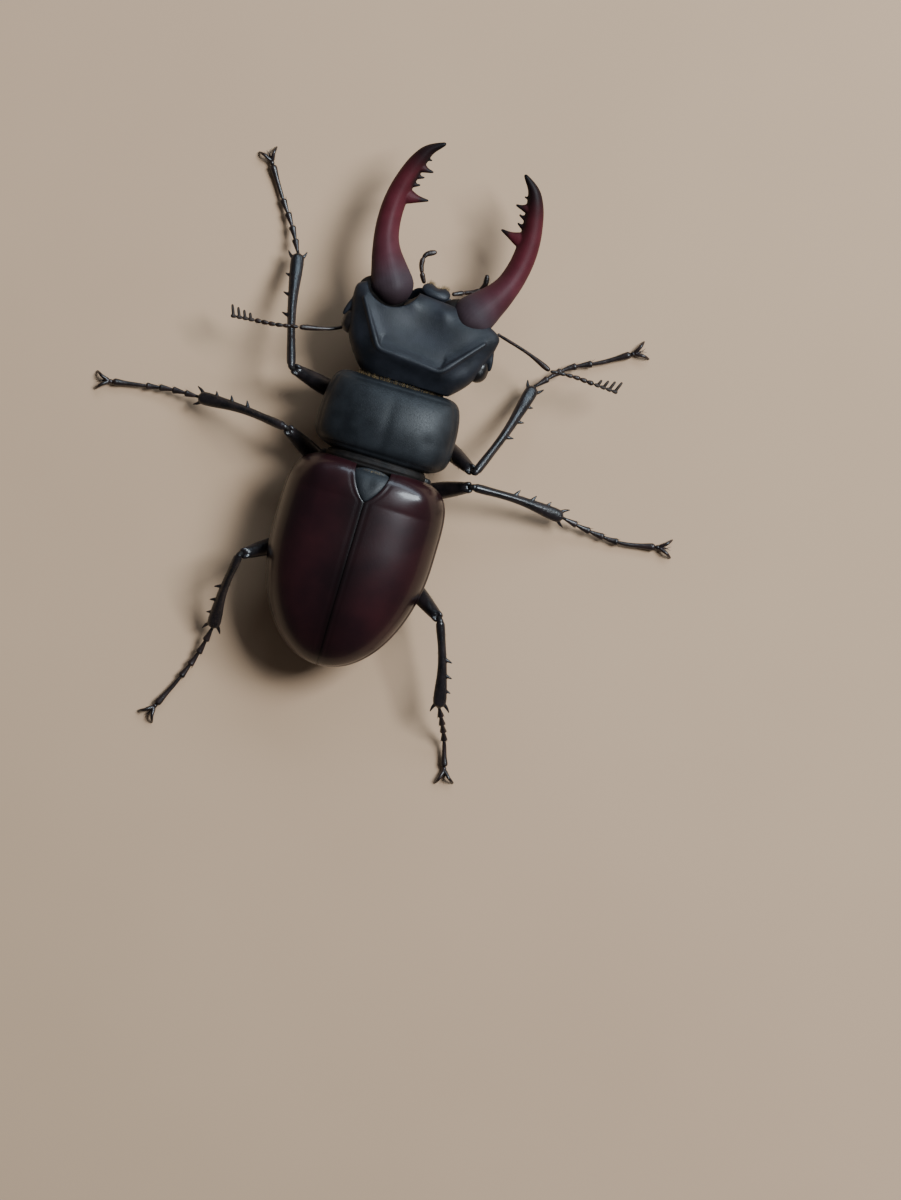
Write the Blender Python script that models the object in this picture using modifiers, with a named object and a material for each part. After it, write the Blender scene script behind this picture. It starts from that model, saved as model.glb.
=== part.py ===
"""Stag beetle: a large male at life size, standing still on its six feet.

The beetle looks along -Y, its left side is +X and +Z is up. The floor is z = 0.
Lengths here are millimetres, and MM turns them into metres when a mesh is made.
A beetle's hard shell is many plates and tubes with soft skin between them. Each
plate is one object, and a narrow gap stands in for the soft skin.
"""

import math

import bmesh
import bpy
from mathutils import Matrix, Vector

MM = 0.001
GAP = 0.25  # between plates that meet
SLIVER = 0.004  # finer details than this are merged away
SMOOTH_BELOW = math.radians(50)  # flatter edges than this are shaded smooth
UP = Vector((0, 0, 1))
SIDES = {"left": 1, "right": -1}  # the sign of x

# The wing cases make one long dome, widest a third of the way back.
DOME_FRONT, DOME_WIDEST, DOME_REAR = 0.5, 11.0, 27.9  # y
DOME_HALF_WIDTH = 10.75
DOME_EDGE, DOME_HEIGHT = 8.0, 7.0  # z of the lower edge, and the rise above it
DOME_FRONT_POWER, DOME_REAR_POWER = 4.8, 2.0  # 2 is an ellipse, more is squarer
DOME_SECTION_POWER = 2.25
WING_CASE_THICK = 0.7
SCUTELLUM_HALF_WIDTH, SCUTELLUM_FRONT, SCUTELLUM_TIP = 2.35, 1.15, 5.6

# The trunk lies inside the dome. A plane cut parts it into hind chest and belly.
TRUNK_INSET = 1.15
TRUNK_EDGE = 7.9  # z where its sides turn under
TRUNK_KEEL = [(2, 4.5), (5, 4.1), (9, 4.3), (14, 4.8), (20, 5.6), (27, 7.4)]  # y, lowest z
BELLY_FRONT, BELLY_RING, BELLY_RINGS = 11.0, 3.0, 5  # y, and the length and number of its rings
COLLAR_Y, COLLAR_HALF_LENGTH, COLLAR_HALF_WIDTH = 0.83, 0.56, 7.4
COLLAR_Z, COLLAR_HALF_HEIGHT = 6.15, 1.35

# The body ring between head and wing cases: a broad shield over the breast.
SHIELD_FRONT, SHIELD_REAR, SHIELD_EDGE = -10.5, -0.25, 9.3  # y, y, and z of its side margin
SHIELD_OUTLINE = [  # y, half width
    (-10.5, 7.9),
    (-9, 8.6),
    (-6.5, 9.15),
    (-3.5, 9.25),
    (-1.7, 9.0),
    (-0.25, 8.1),
]
SHIELD_TOP = [(-10.5, 12.7), (-8, 13.9), (-5, 14.5), (-2, 14.2), (-0.25, 13.6)]  # y, z
BREAST_KEEL = [(-10.5, 5.4), (-7, 4.6), (-4, 4.5), (-0.25, 5.2)]  # y, z

# The head turns on the neck, a little to the beetle's right. Its pieces are placed
# from the neck, and "ahead" is the distance in front of it.
NECK = Vector((0, -10.3, 0))
HEAD_TURN = math.radians(-5)
HEAD_EDGE = 9.5  # z of the cheek's rim
HEAD_OUTLINE = [  # ahead, half width
    (-0.3, 6.2),
    (1.3, 7.0),
    (2.5, 7.8),
    (3.8, 8.6),
    (5.4, 9.2),
    (7.6, 9.7),
    (9.6, 10.2),
    (11.0, 10.4),
    (11.9, 9.2),
    (12.5, 7.5),
]
HEAD_TOP = [  # ahead, z
    (-0.3, 11.9),
    (1.6, 12.4),
    (3.4, 12.9),
    (5.5, 12.6),
    (8, 12.1),
    (10, 11.5),
    (11.6, 10.7),
    (12.5, 10.2),
]
HEAD_KEEL = [(-0.3, 6.6), (3, 5.7), (8, 5.5), (11, 6.4), (12.5, 7.4)]  # ahead, z
RIDGE_CORNER, RIDGE_END = Vector((4.4, 3.6)), Vector((8.6, 9.4))  # x and ahead, of the brow ridge
RIDGE_HEIGHT, RIDGE_SPREAD = 0.55, 0.85
EYE_PLACE, EYE_SIZE = Vector((8.9, -5.9, 9.2)), Vector((1.45, 1.75, 1.45))

# The jaws: the points of the middle line, and stations along it.
JAW_LINE = [  # x, ahead, z
    (5.6, 9.7, 9.1),
    (5.55, 11.9, 9.15),
    (6.7, 13.9, 9.0),
    (7.9, 16.1, 8.75),
    (8.7, 18.4, 8.4),
    (9.1, 21.3, 8.2),
    (9.0, 24.2, 8.3),
    (8.5, 26.9, 8.6),
    (7.9, 28.9, 9.0),
    (7.0, 30.6, 9.4),
    (5.2, 32.1, 9.9),
]
JAW_STATIONS = [  # share of the line, half width, half depth
    (0.006, 1.3, 1.1),
    (0.035, 2.35, 1.9),
    (0.085, 3.1, 2.2),
    (0.15, 2.75, 2.15),
    (0.24, 2.15, 1.95),
    (0.34, 1.75, 1.75),
    (0.45, 1.58, 1.55),
    (0.57, 1.5, 1.4),
    (0.68, 1.38, 1.25),
    (0.78, 1.22, 1.1),
    (0.86, 0.98, 0.92),
    (0.92, 0.66, 0.68),
    (0.97, 0.4, 0.42),
    (0.993, 0.26, 0.28),
]
JAW_TEETH = [  # root, tip, radius: the fork of the point, the great tooth and two small ones
    ((7.6, 28.4, 8.95), (5.6, 28.0, 8.9), 0.62),
    ((8.2, 24.0, 8.35), (5.0, 24.3, 8.2), 0.72),
    ((7.7, 25.7, 8.5), (6.7, 25.9, 8.5), 0.42),
    ((7.5, 26.9, 8.65), (6.6, 27.0, 8.65), 0.36),
]
JAW_HINGE = Vector((5.6, 10.5))  # x, ahead
JAW_OPENING = {"left": math.radians(1.8), "right": 0}  # the left jaw stands wider
NOTCH_AHEAD, NOTCH_RADIUS = 13.0, 3.7  # the head's notch for a jaw, centred in front of its hinge

# The mouth's long feelers and the great elbowed ones: x, ahead, z of their points.
MOUTH_FEELERS = {
    "left": [(1.9, 14.0, 6.9), (2.6, 15.0, 7.2), (3.2, 16.3, 7.3), (3.1, 17.6, 7.2), (1.9, 18.5, 7.0)],
    "right": [(-2.0, 14.0, 6.7), (-3.4, 14.8, 6.1), (-4.9, 15.6, 5.9), (-5.6, 16.8, 6.0), (-5.4, 18.2, 6.2)],
}
FEELERS = {  # the shaft, then the bent part
    "left": (
        [(8.4, 7.6, 6.9), (9.5, 5.2, 7.0), (11.2, 3.9, 7.8), (14.8, 2.6, 9.1)],
        [(15.3, 2.5, 9.15), (18.0, 1.75, 8.7), (20.7, 1.3, 7.9)],
    ),
    "right": (
        [(-9.5, 11.3, 7.4), (-14.1, 10.4, 8.3), (-17.5, 9.3, 8.8)],
        [(-17.9, 9.25, 8.75), (-20.7, 9.7, 8.3), (-23.5, 9.8, 7.8)],
    ),
}
FEELER_BEADS, CLUB_LEAVES, CLUB_LENGTH = 6, 4, 3.4

# Each leg: its root segment's middle, then the thigh's hip, bend and knee, the ankle,
# and the foot's points. The floor is z = 0.
LEGS = {
    "fore_left": (
        (3.1, -5.3, 5.1),
        [(2.9, -6.2, 3.0), (8.9, -7.6, 4.1), (13.9, -8.7, 8.4)],
        (18.0, -23.7, 2.5),
        [(19.9, -27.1, 1.25), (22.3, -30.5, 0.68), (24.7, -34.2, 0.6)],
    ),
    "fore_right": (
        (-3.1, -5.3, 5.1),
        [(-2.9, -5.6, 2.8), (-7.6, -4.7, 3.6), (-12.3, -2.5, 8.6)],
        (-17.1, -15.6, 2.5),
        [(-20.6, -19.2, 1.25), (-24.9, -21.4, 0.68), (-28.3, -23.5, 0.6)],
    ),
    "middle_left": (
        (3.9, 4.4, 4.7),
        [(3.5, 4.0, 2.6), (8.4, 1.3, 3.7), (12.5, -0.8, 7.6)],
        (25.3, -1.7, 2.2),
        [(29.4, -1.6, 1.1), (33.3, -1.0, 0.66), (37.0, -0.4, 0.6)],
    ),
    "middle_right": (
        (-3.9, 4.4, 4.7),
        [(-3.5, 4.0, 2.7), (-8.6, 1.4, 3.5), (-12.7, -0.3, 6.6)],
        (-25.7, 0.0, 2.2),
        [(-29.8, 0.7, 1.1), (-34.2, 1.0, 0.66), (-38.7, 0.2, 0.6)],
    ),
    "hind_left": (
        (4.3, 8.8, 4.8),
        [(3.4, 10.6, 2.9), (9.2, 13.9, 4.4), (13.5, 16.6, 8.4)],
        (14.8, 27.2, 2.3),
        [(15.7, 31.0, 1.1), (17.3, 35.2, 0.66), (19.2, 39.2, 0.6)],
    ),
    "hind_right": (
        (-4.3, 8.8, 4.8),
        [(-3.4, 10.6, 2.9), (-9.2, 14.5, 4.4), (-13.6, 17.4, 8.2)],
        (-17.1, 28.8, 5.2),
        [(-18.0, 30.6, 3.6), (-19.0, 32.9, 1.4), (-20.0, 36.3, 0.6)],
    ),
}
ROOT_SIZES = {"fore": (2.2, 1.6, 1.3), "middle": (2.2, 1.6, 1.3), "hind": (3.7, 1.45, 1.15)}
THIGH = [  # share of its line, half width, half depth
    (0.01, 0.55, 0.5),
    (0.1, 0.85, 0.75),
    (0.35, 1.15, 0.95),
    (0.62, 1.15, 0.95),
    (0.85, 0.9, 0.8),
    (0.98, 0.6, 0.6),
]
SHIN = [
    (0.01, 0.5, 0.45),
    (0.06, 0.58, 0.52),
    (0.3, 0.55, 0.5),
    (0.6, 0.66, 0.52),
    (0.88, 0.9, 0.58),
    (0.985, 0.85, 0.55),
]
SHIN_BOW = 0.35  # how far its middle stands out from a straight line, outward and upward
SHIN_SPINES = (0.43, 0.61, 0.78)  # shares of its length, on the outer edge
FOOT_JOINTS, SHORT_JOINT = 5, 0.155  # all but the last take this share of the foot
CLAW_LENGTH, CLAW_THICK, CLAW_POINT = 2.0, 0.38, 0.22

COLOURS = {  # base colour, roughness
    "shell_black": ((0.014, 0.015, 0.018), 0.42),
    "shell_chestnut": ((0.060, 0.010, 0.010), 0.22),
    "jaw_red": ((0.150, 0.018, 0.022), 0.30),
    "belly_brown": ((0.030, 0.016, 0.012), 0.45),
    "leg_black": ((0.016, 0.011, 0.012), 0.30),
    "feeler_brown": ((0.040, 0.018, 0.014), 0.38),
    "eye_black": ((0.012, 0.009, 0.008), 0.12),
}

for old in list(bpy.data.objects):
    bpy.data.objects.remove(old)
beetle = bpy.data.collections.new("stag_beetle")
cutters = bpy.data.collections.new("cutters")
for collection in (beetle, cutters):
    bpy.context.scene.collection.children.link(collection)
stance = bpy.data.objects.new("stance", None)
head_joint = bpy.data.objects.new("head_joint", None)
for empty in (stance, head_joint):
    beetle.objects.link(empty)
head_joint.parent = stance
head_joint.location = NECK * MM
head_joint.rotation_euler.z = HEAD_TURN


# ---------------------------------------------------------------- shared tools


def signed_power(value, power):
    """A superellipse's coordinate for the sine or cosine given."""
    return math.copysign(abs(value) ** (2 / power), value)


def between(table, at):
    """Reads a table of (key, value) rows at any key, eased a little so that no corner shows."""
    if at <= table[0][0]:
        return table[0][1]
    for (low_key, low), (high_key, high) in zip(table, table[1:]):
        if at <= high_key:
            share = (at - low_key) / (high_key - low_key)
            eased = share * share * (3 - 2 * share)
            return low + (high - low) * (share + eased) / 2
    return table[-1][1]


def smooth_path(points, steps=12):
    """A function of 0 to 1 that runs at even speed along a smooth curve through the points."""
    knots = [Vector(p) for p in points]
    knots = [2 * knots[0] - knots[1], *knots, 2 * knots[-1] - knots[-2]]
    line = []
    for a, b, c, d in zip(knots, knots[1:], knots[2:], knots[3:]):
        square, cube = 2 * a - 5 * b + 4 * c - d, 3 * b - a - 3 * c + d
        for i in range(steps):
            t = i / steps
            line.append((2 * b + (c - a) * t + square * t**2 + cube * t**3) / 2)
    line.append(knots[-2])
    reach = [0.0]
    for a, b in zip(line, line[1:]):
        reach.append(reach[-1] + (b - a).length)

    def at(share):
        want = share * reach[-1]
        for i, (low, high) in enumerate(zip(reach, reach[1:])):
            if want <= high:
                return line[i].lerp(line[i + 1], (want - low) / (high - low))
        return line[-1]

    return at


def material(name):
    """The Principled material of one of the shell's colours, made when it is first asked for."""
    made = bpy.data.materials.get(name)
    if made is None:
        colour, roughness = COLOURS[name]
        made = bpy.data.materials.new(name)
        made.use_nodes = True
        shader = made.node_tree.nodes["Principled BSDF"]
        shader.inputs["Base Color"].default_value = (*colour, 1)
        shader.inputs["Roughness"].default_value = roughness
        shader.inputs["Metallic"].default_value = 0
    return made


def to_object(name, bm, colour, parent):
    """Makes the mesh an object of the beetle or, with no colour, a cutter."""
    mesh = bpy.data.meshes.new(name)
    bm.to_mesh(mesh)
    bm.free()
    mesh.shade_smooth()
    mesh.set_sharp_from_angle(angle=SMOOTH_BELOW)
    obj = bpy.data.objects.new(name, mesh)
    obj.parent = parent
    if colour:
        mesh.materials.append(material(colour))
        beetle.objects.link(obj)
    else:
        cutters.objects.link(obj)
        obj.hide_render = True
        obj.display_type = "WIRE"
    return obj


def form(name, rings, sides, place, colour=None, parent=stance, keep=None):
    """A ball of rings and sides, its points moved to place(along, around).

    along runs 0 to 1 from the ball's first pole to its last. around is the angle about that axis.
    keep(along, around) may leave part of the ball out, which gives an open surface.
    """
    bm = bmesh.new()
    bmesh.ops.create_uvsphere(bm, u_segments=sides, v_segments=rings, radius=1)
    spots = {}
    for v in bm.verts:
        along = math.acos(max(-1, min(1, v.co.z))) / math.pi
        spots[v] = (along, math.atan2(v.co.y, v.co.x))
    if keep:
        unwanted = [v for v, spot in spots.items() if not keep(*spot)]
        bmesh.ops.delete(bm, geom=unwanted, context="VERTS")
    for v in bm.verts:
        v.co = place(*spots[v]) * MM
    bmesh.ops.recalc_face_normals(bm, faces=bm.faces)
    outward = sum(f.normal.z * f.calc_area() for f in bm.faces) if keep else bm.calc_volume(signed=True)
    if outward < 0:
        bmesh.ops.reverse_faces(bm, faces=bm.faces)
    return to_object(name, bm, colour, parent)


def limb(name, points, stations, sides, colour=None, parent=stance):
    """A closed tapering tube along a smooth path, with one ring for each station.

    A station is (share of the path, half width, half depth). The width lies level.
    What would dip below the floor is pressed flat on it.
    """
    path = smooth_path(points)
    rings = len(stations) + 1

    def place(along, around):
        ring = round(along * rings)
        if ring in (0, rings):
            return path(ring / rings)
        share, width, depth = stations[ring - 1]
        ahead = path(min(1, share + 0.02)) - path(max(0, share - 0.02))
        across = UP.cross(ahead).normalized()
        above = ahead.cross(across).normalized()
        spot = path(share) + across * width * math.cos(around) + above * depth * math.sin(around)
        return Vector((spot.x, spot.y, max(0, spot.z)))

    return form(name, rings, sides, place, colour, parent)


def spike(base, tip, radius, parent=stance):
    """A pointed spine or tooth, to be joined to what it grows from."""
    return limb("spike", [base, tip], [(0.02, radius, radius)], 5, parent=parent)


def boolean(obj, others, operation):
    """Joins the other shapes to obj, or cuts them from it, and removes them."""
    for other in others:
        step = obj.modifiers.new(operation.lower(), "BOOLEAN")
        step.operation = operation
        step.solver = "EXACT"
        step.object = other
    bpy.context.view_layer.update()
    graph = bpy.context.evaluated_depsgraph_get()
    obj.data = bpy.data.meshes.new_from_object(obj.evaluated_get(graph))
    obj.modifiers.clear()
    for other in others:
        bpy.data.objects.remove(other)
    bm = bmesh.new()
    bm.from_mesh(obj.data)
    bmesh.ops.dissolve_degenerate(bm, dist=SLIVER * MM, edges=bm.edges)
    bmesh.ops.triangulate(bm, faces=bm.faces)
    bm.to_mesh(obj.data)
    bm.free()


def trim(obj, point, keep_towards):
    """Cuts the piece flat at a plane and closes the cut."""
    bm = bmesh.new()
    bm.from_mesh(obj.data)
    everything = [*bm.verts, *bm.edges, *bm.faces]
    plane = {"plane_co": Vector(point) * MM, "plane_no": keep_towards}
    cut = bmesh.ops.bisect_plane(bm, geom=everything, dist=SLIVER * MM / 4, clear_inner=True, **plane)
    rim = [e for e in cut["geom_cut"] if isinstance(e, bmesh.types.BMEdge)]
    bmesh.ops.holes_fill(bm, edges=rim)
    bmesh.ops.recalc_face_normals(bm, faces=bm.faces)
    bm.to_mesh(obj.data)
    bm.free()
    obj.data.set_sharp_from_angle(angle=SMOOTH_BELOW)


def part_at(obj, name, point, normal, colour):
    """Parts a piece with a thin plane cut. obj keeps what is behind the plane."""
    rest = obj.copy()
    rest.name = name
    rest.data = obj.data.copy()
    rest.data.materials[0] = material(colour)
    beetle.objects.link(rest)
    for piece, sign in ((obj, -1), (rest, 1)):
        facing = Vector(normal) * sign
        trim(piece, Vector(point) + facing * GAP / 2, facing)
    return rest


# ------------------------------------------------------- trunk and wing cases


def dome_z(x, y):
    """The height of the dome's surface over a point."""
    if y < DOME_WIDEST:
        share, power = (DOME_WIDEST - y) / (DOME_WIDEST - DOME_FRONT), DOME_FRONT_POWER
    else:
        share, power = (y - DOME_WIDEST) / (DOME_REAR - DOME_WIDEST), DOME_REAR_POWER
    taper = (1 - min(1, share) ** power) ** (1 / power)
    across = min(1, abs(x) / (DOME_HALF_WIDTH * taper)) if taper else 1
    return DOME_EDGE + DOME_HEIGHT * taper * (1 - across**DOME_SECTION_POWER) ** (1 / DOME_SECTION_POWER)


def on_dome(along, around, inset=0):
    """A point of the dome, or of a like one inside it, as (x, y, rise above the edge)."""
    ahead = math.cos(along * math.pi)
    if ahead > 0:
        reach, power = DOME_WIDEST - DOME_FRONT - inset, DOME_FRONT_POWER
    else:
        reach, power = DOME_REAR - DOME_WIDEST - inset, DOME_REAR_POWER
    y = DOME_WIDEST - reach * signed_power(ahead, power)
    taper = signed_power(math.sin(along * math.pi), power)
    x = (DOME_HALF_WIDTH - inset) * taper * signed_power(math.cos(around), DOME_SECTION_POWER)
    rise = (DOME_HEIGHT - inset) * taper * signed_power(math.sin(around), DOME_SECTION_POWER)
    return x, y, rise


def scutellum(name, grow, low, high, colour=None):
    """The small heart-shaped plate between the wing cases, or with grow a cutter a little wider.

    low and high are the heights of its faces above the dome.
    """
    front, length = SCUTELLUM_FRONT - grow, SCUTELLUM_TIP - SCUTELLUM_FRONT + 2 * grow

    def place(along, around):
        share = (1 - math.cos(along * math.pi)) / 2
        width = (SCUTELLUM_HALF_WIDTH + grow) * min(1, 9 * share) ** 0.4 * (1 - share**1.7) ** 0.75
        x, y = width * math.cos(around), front + length * share
        level = (low + high) / 2 + (high - low) / 2 * signed_power(math.sin(around), 5)
        return Vector((x, y, dome_z(x, y) + level))

    return form(name, 7, 10, place, colour)


def wing_case(name, side):
    """One hard wing case: a thin domed shell that meets its twin in a straight seam."""

    def place(along, around):
        x, y, rise = on_dome(along, around)
        seam = GAP / 2
        return Vector((side * (seam + x * (1 - seam / DOME_HALF_WIDTH)), y, DOME_EDGE + rise))

    def keep(along, around):
        return along > 0.05 and -0.01 < around < math.pi / 2 + 0.01

    case = form(f"wing_case_{name}", 14, 28, place, "shell_chestnut", keep=keep)
    shell = case.modifiers.new("thickness", "SOLIDIFY")
    shell.thickness = WING_CASE_THICK * MM
    shell.offset = -1
    boolean(case, [scutellum("notch", GAP, -3, 3)], "DIFFERENCE")


def trunk():
    """The body under the wing cases, parted into the hind chest and the belly."""

    def place(along, around):
        x, y, rise = on_dome(along, around, TRUNK_INSET)
        if rise < 0:
            rise *= (TRUNK_EDGE - between(TRUNK_KEEL, y)) / (DOME_HEIGHT - TRUNK_INSET)
        return Vector((x, y, TRUNK_EDGE + rise))

    chest = form("hind_chest", 12, 18, place, "belly_brown")
    belly = part_at(chest, "belly", (0, BELLY_FRONT, 0), (0, 1, 0), "belly_brown")
    for ring in range(1, BELLY_RINGS):
        belly_groove(belly, BELLY_FRONT + BELLY_RING * ring)
    return chest


def belly_groove(belly, y):
    """A shallow groove across the underside, where one belly ring meets the next."""
    half_width = DOME_HALF_WIDTH - 2

    def place(along, around):
        across = math.cos(along * math.pi)
        deep = (TRUNK_EDGE - between(TRUNK_KEEL, y)) * math.sin(along * math.pi)
        z = TRUNK_EDGE - deep + 0.3 * math.sin(around)
        return Vector((half_width * across, y + 0.18 * math.cos(around), z))

    boolean(belly, [form("groove", 8, 4, place)], "DIFFERENCE")


def collar():
    """The narrow ring in front of the hind chest. The middle legs reach out behind it."""

    def place(along, around):
        taper = signed_power(math.sin(along * math.pi), 6)
        x = COLLAR_HALF_WIDTH * taper * signed_power(math.cos(around), 2.4)
        y = COLLAR_Y - COLLAR_HALF_LENGTH * signed_power(math.cos(along * math.pi), 6)
        return Vector((x, y, COLLAR_Z + COLLAR_HALF_HEIGHT * taper * signed_power(math.sin(around), 2.4)))

    form("mid_chest", 6, 10, place, "shell_black")


# ----------------------------------------------------------------- front ring


def front_ring():
    """The ring behind the head, parted along its side margin into the shield and the breast."""
    middle, half_length = (SHIELD_FRONT + SHIELD_REAR) / 2, (SHIELD_REAR - SHIELD_FRONT) / 2

    def place(along, around):
        ahead = math.cos(along * math.pi)
        y = middle - half_length * signed_power(ahead, 7)
        taper = signed_power(math.sin(along * math.pi), 7)
        if math.sin(around) > 0:
            reach, power = between(SHIELD_TOP, y) - SHIELD_EDGE, 2.25
        else:
            reach, power = SHIELD_EDGE - between(BREAST_KEEL, y), 2
        across = taper * signed_power(math.cos(around), power)
        corners_forward = -0.75 * across**4 * max(0, ahead) ** 0.5
        middle_back = 0.25 * (1 - across**2) * max(0, -ahead)
        z = SHIELD_EDGE + reach * taper * signed_power(math.sin(around), power)
        return Vector((across * between(SHIELD_OUTLINE, y), y + corners_forward + middle_back, z))

    breast = form("breast", 14, 20, place, "shell_black")
    part_at(breast, "neck_shield", (0, 0, SHIELD_EDGE - 0.35), (0, 0, 1), "shell_black")
    return breast


# ----------------------------------------------------------------------- head


def from_neck(side, point):
    """A place given as (x, ahead, z) on the beetle's left, on the side asked for."""
    x, ahead, z = point
    return Vector((side * x, -ahead, z))


def ridge_lift(x, ahead):
    """How far the brow ridge stands up: straight across the crown, then forward over each cheek."""
    spot, run = Vector((abs(x), ahead)), RIDGE_END - RIDGE_CORNER
    if spot.x < RIDGE_CORNER.x:
        off = abs(ahead - RIDGE_CORNER.y)
    else:
        share = max(0, min(1, (spot - RIDGE_CORNER).dot(run) / run.length_squared))
        off = (spot - RIDGE_CORNER - run * share).length
    return RIDGE_HEIGHT * math.exp(-((off / RIDGE_SPREAD) ** 2))


def head():
    """The head capsule: broad, with a cheek at each side and an eye behind it."""
    rear, front = HEAD_OUTLINE[0][0], HEAD_OUTLINE[-1][0]

    def place(along, around):
        ahead = (front + rear) / 2 + (front - rear) / 2 * signed_power(math.cos(along * math.pi), 5)
        taper = signed_power(math.sin(along * math.pi), 5)
        if math.sin(around) > 0:
            reach, power = between(HEAD_TOP, ahead) - HEAD_EDGE, 2.7
        else:
            reach, power = HEAD_EDGE - between(HEAD_KEEL, ahead), 2.2
        x = between(HEAD_OUTLINE, ahead) * taper * signed_power(math.cos(around), power)
        z = HEAD_EDGE + reach * taper * signed_power(math.sin(around), power)
        return Vector((x, -ahead, z + ridge_lift(x, ahead) * max(0, math.sin(around))))

    capsule = form("head", 16, 20, place, "shell_black", head_joint)
    square_to_shield = Matrix.Rotation(-HEAD_TURN, 3, "Z") @ Vector((0, -1, 0))
    trim(capsule, (0, -0.55, 0), square_to_shield)
    boolean(capsule, [eye("hole", side, GAP) for side in SIDES.values()], "DIFFERENCE")
    boolean(capsule, [jaw_notch(side) for side in SIDES.values()], "DIFFERENCE")


def eye(name, side, grow, colour=None):
    """A bulging eye behind the cheek, or the hole that it sits in."""

    def place(along, around):
        turn = along * math.pi
        ball = Vector((math.sin(turn) * math.cos(around), math.cos(turn), math.sin(turn) * math.sin(around)))
        spot = EYE_PLACE + ball * (EYE_SIZE + Vector((grow, grow, grow)))
        return Vector((side * spot.x, spot.y, spot.z))

    return form(name, 7, 10, place, colour, head_joint)


def jaw_notch(side):
    """The cutter for the rounded notch in the head's front, where a jaw is hinged."""

    def place(along, around):
        turn = along * math.pi
        x = JAW_HINGE.x + NOTCH_RADIUS * math.sin(turn) * math.cos(around)
        ahead = NOTCH_AHEAD + NOTCH_RADIUS * math.sin(turn) * math.sin(around)
        return from_neck(side, (x, ahead, HEAD_EDGE + 5 * signed_power(math.cos(turn), 6)))

    return form("notch", 6, 24, place, parent=head_joint)


def jaw(name, side):
    """A great jaw, curved like an antler, with a forked point and teeth along its inner edge."""
    hinge = from_neck(side, (*JAW_HINGE, 0))
    opening = Matrix.Rotation(JAW_OPENING[name] * side, 3, "Z")

    def placed(point):
        return hinge + opening @ (from_neck(side, point) - hinge)

    body = limb(f"jaw_{name}", [placed(p) for p in JAW_LINE], JAW_STATIONS, 12, "jaw_red", head_joint)
    teeth = [spike(placed(root), placed(tip), radius, head_joint) for root, tip, radius in JAW_TEETH]
    boolean(body, teeth, "UNION")


def lip():
    """The small rounded lip over the mouth."""

    def place(along, around):
        ahead = 13.55 + 0.85 * math.cos(along * math.pi)
        width = 1.9 * signed_power(math.sin(along * math.pi), 3)
        z = 8.5 - 0.5 * (ahead - 13.5) + 0.75 * math.sin(along * math.pi) * math.sin(around)
        return Vector((width * math.cos(around), -ahead, z))

    form("lip", 6, 10, place, "shell_black", head_joint)


def chin_plate():
    """The broad plate that closes the mouth from below."""

    def place(along, around):
        ahead = 11.2 + 2.3 * signed_power(math.cos(along * math.pi), 3)
        taper = signed_power(math.sin(along * math.pi), 3)
        width = (4.4 - 0.35 * (ahead - 9)) * taper
        z = 4.95 + 0.32 * (ahead - 9.5) + 0.42 * taper * math.sin(around)
        return Vector((width * signed_power(math.cos(around), 3), -ahead, z))

    form("chin_plate", 6, 12, place, "shell_black", head_joint)


def mouth_feeler(name):
    """One of the mouth's long feelers, of three joints."""
    stations = [(0.01, 0.3, 0.3)]
    for joint in (0.25, 0.6):
        stations += [(joint, 0.36, 0.36), (joint + 0.03, 0.27, 0.27)]
    stations += [(0.88, 0.42, 0.36), (0.98, 0.3, 0.26)]
    path = [from_neck(1, p) for p in MOUTH_FEELERS[name]]
    limb(f"mouth_feeler_{name}", path, stations, 6, "feeler_brown", head_joint)


def feeler(name):
    """An elbowed feeler: a long shaft, a string of beads, and a club."""
    shaft, bent = ([from_neck(1, p) for p in points] for points in FEELERS[name])
    shape = [(0.01, 0.27, 0.27), (0.3, 0.26, 0.26), (0.7, 0.3, 0.3), (0.92, 0.4, 0.4), (0.99, 0.3, 0.3)]
    limb(f"feeler_shaft_{name}", shaft, shape, 6, "feeler_brown", head_joint)
    beads = []
    for bead in range(FEELER_BEADS):
        start = 0.01 + 0.98 * bead / FEELER_BEADS
        beads += [(start, 0.25, 0.25), (start + 0.7 / FEELER_BEADS, 0.34, 0.34)]
    limb(f"feeler_beads_{name}", bent, beads, 5, "feeler_brown", head_joint)
    ahead = (bent[2] - bent[1]).normalized()
    club(name, bent[2] + ahead * GAP, ahead)


def club(name, start, ahead):
    """The feeler's club: a stem whose joints each carry a flat leaf to the front, like a comb."""
    forward = Vector((0, -1, 0))
    leaf_way = (forward - ahead * forward.dot(ahead)).normalized()
    ends = [start, start + ahead * CLUB_LENGTH]
    stem_shape = [(0.01, 0.26, 0.26), (0.5, 0.32, 0.32), (0.95, 0.34, 0.34)]
    stem = limb(f"feeler_club_{name}", ends, stem_shape, 6, "feeler_brown", head_joint)
    leaf_shape = [(0.03, 0.26, 0.3), (0.6, 0.28, 0.42), (0.95, 0.18, 0.3)]
    leaves = []
    for leaf in range(CLUB_LEAVES):
        root = start + ahead * (0.55 + 0.82 * leaf) - leaf_way * 0.1
        end = root + (leaf_way + ahead * 0.35).normalized() * (1.0 + 0.22 * leaf)
        leaves.append(limb("leaf", [root, end], leaf_shape, 5, parent=head_joint))
    boolean(stem, leaves, "UNION")


# ----------------------------------------------------------------------- legs


def root_segment(name, centre, size, grow=0, colour=None):
    """A leg's root segment, a rounded cone set in the chest, or with grow its socket."""

    def place(along, around):
        turn = along * math.pi
        ball = Vector((math.cos(turn), math.sin(turn) * math.cos(around), math.sin(turn) * math.sin(around)))
        return Vector(centre) + ball * (Vector(size) + Vector((grow, grow, grow)))

    return form(name, 5, 9, place, colour)


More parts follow.
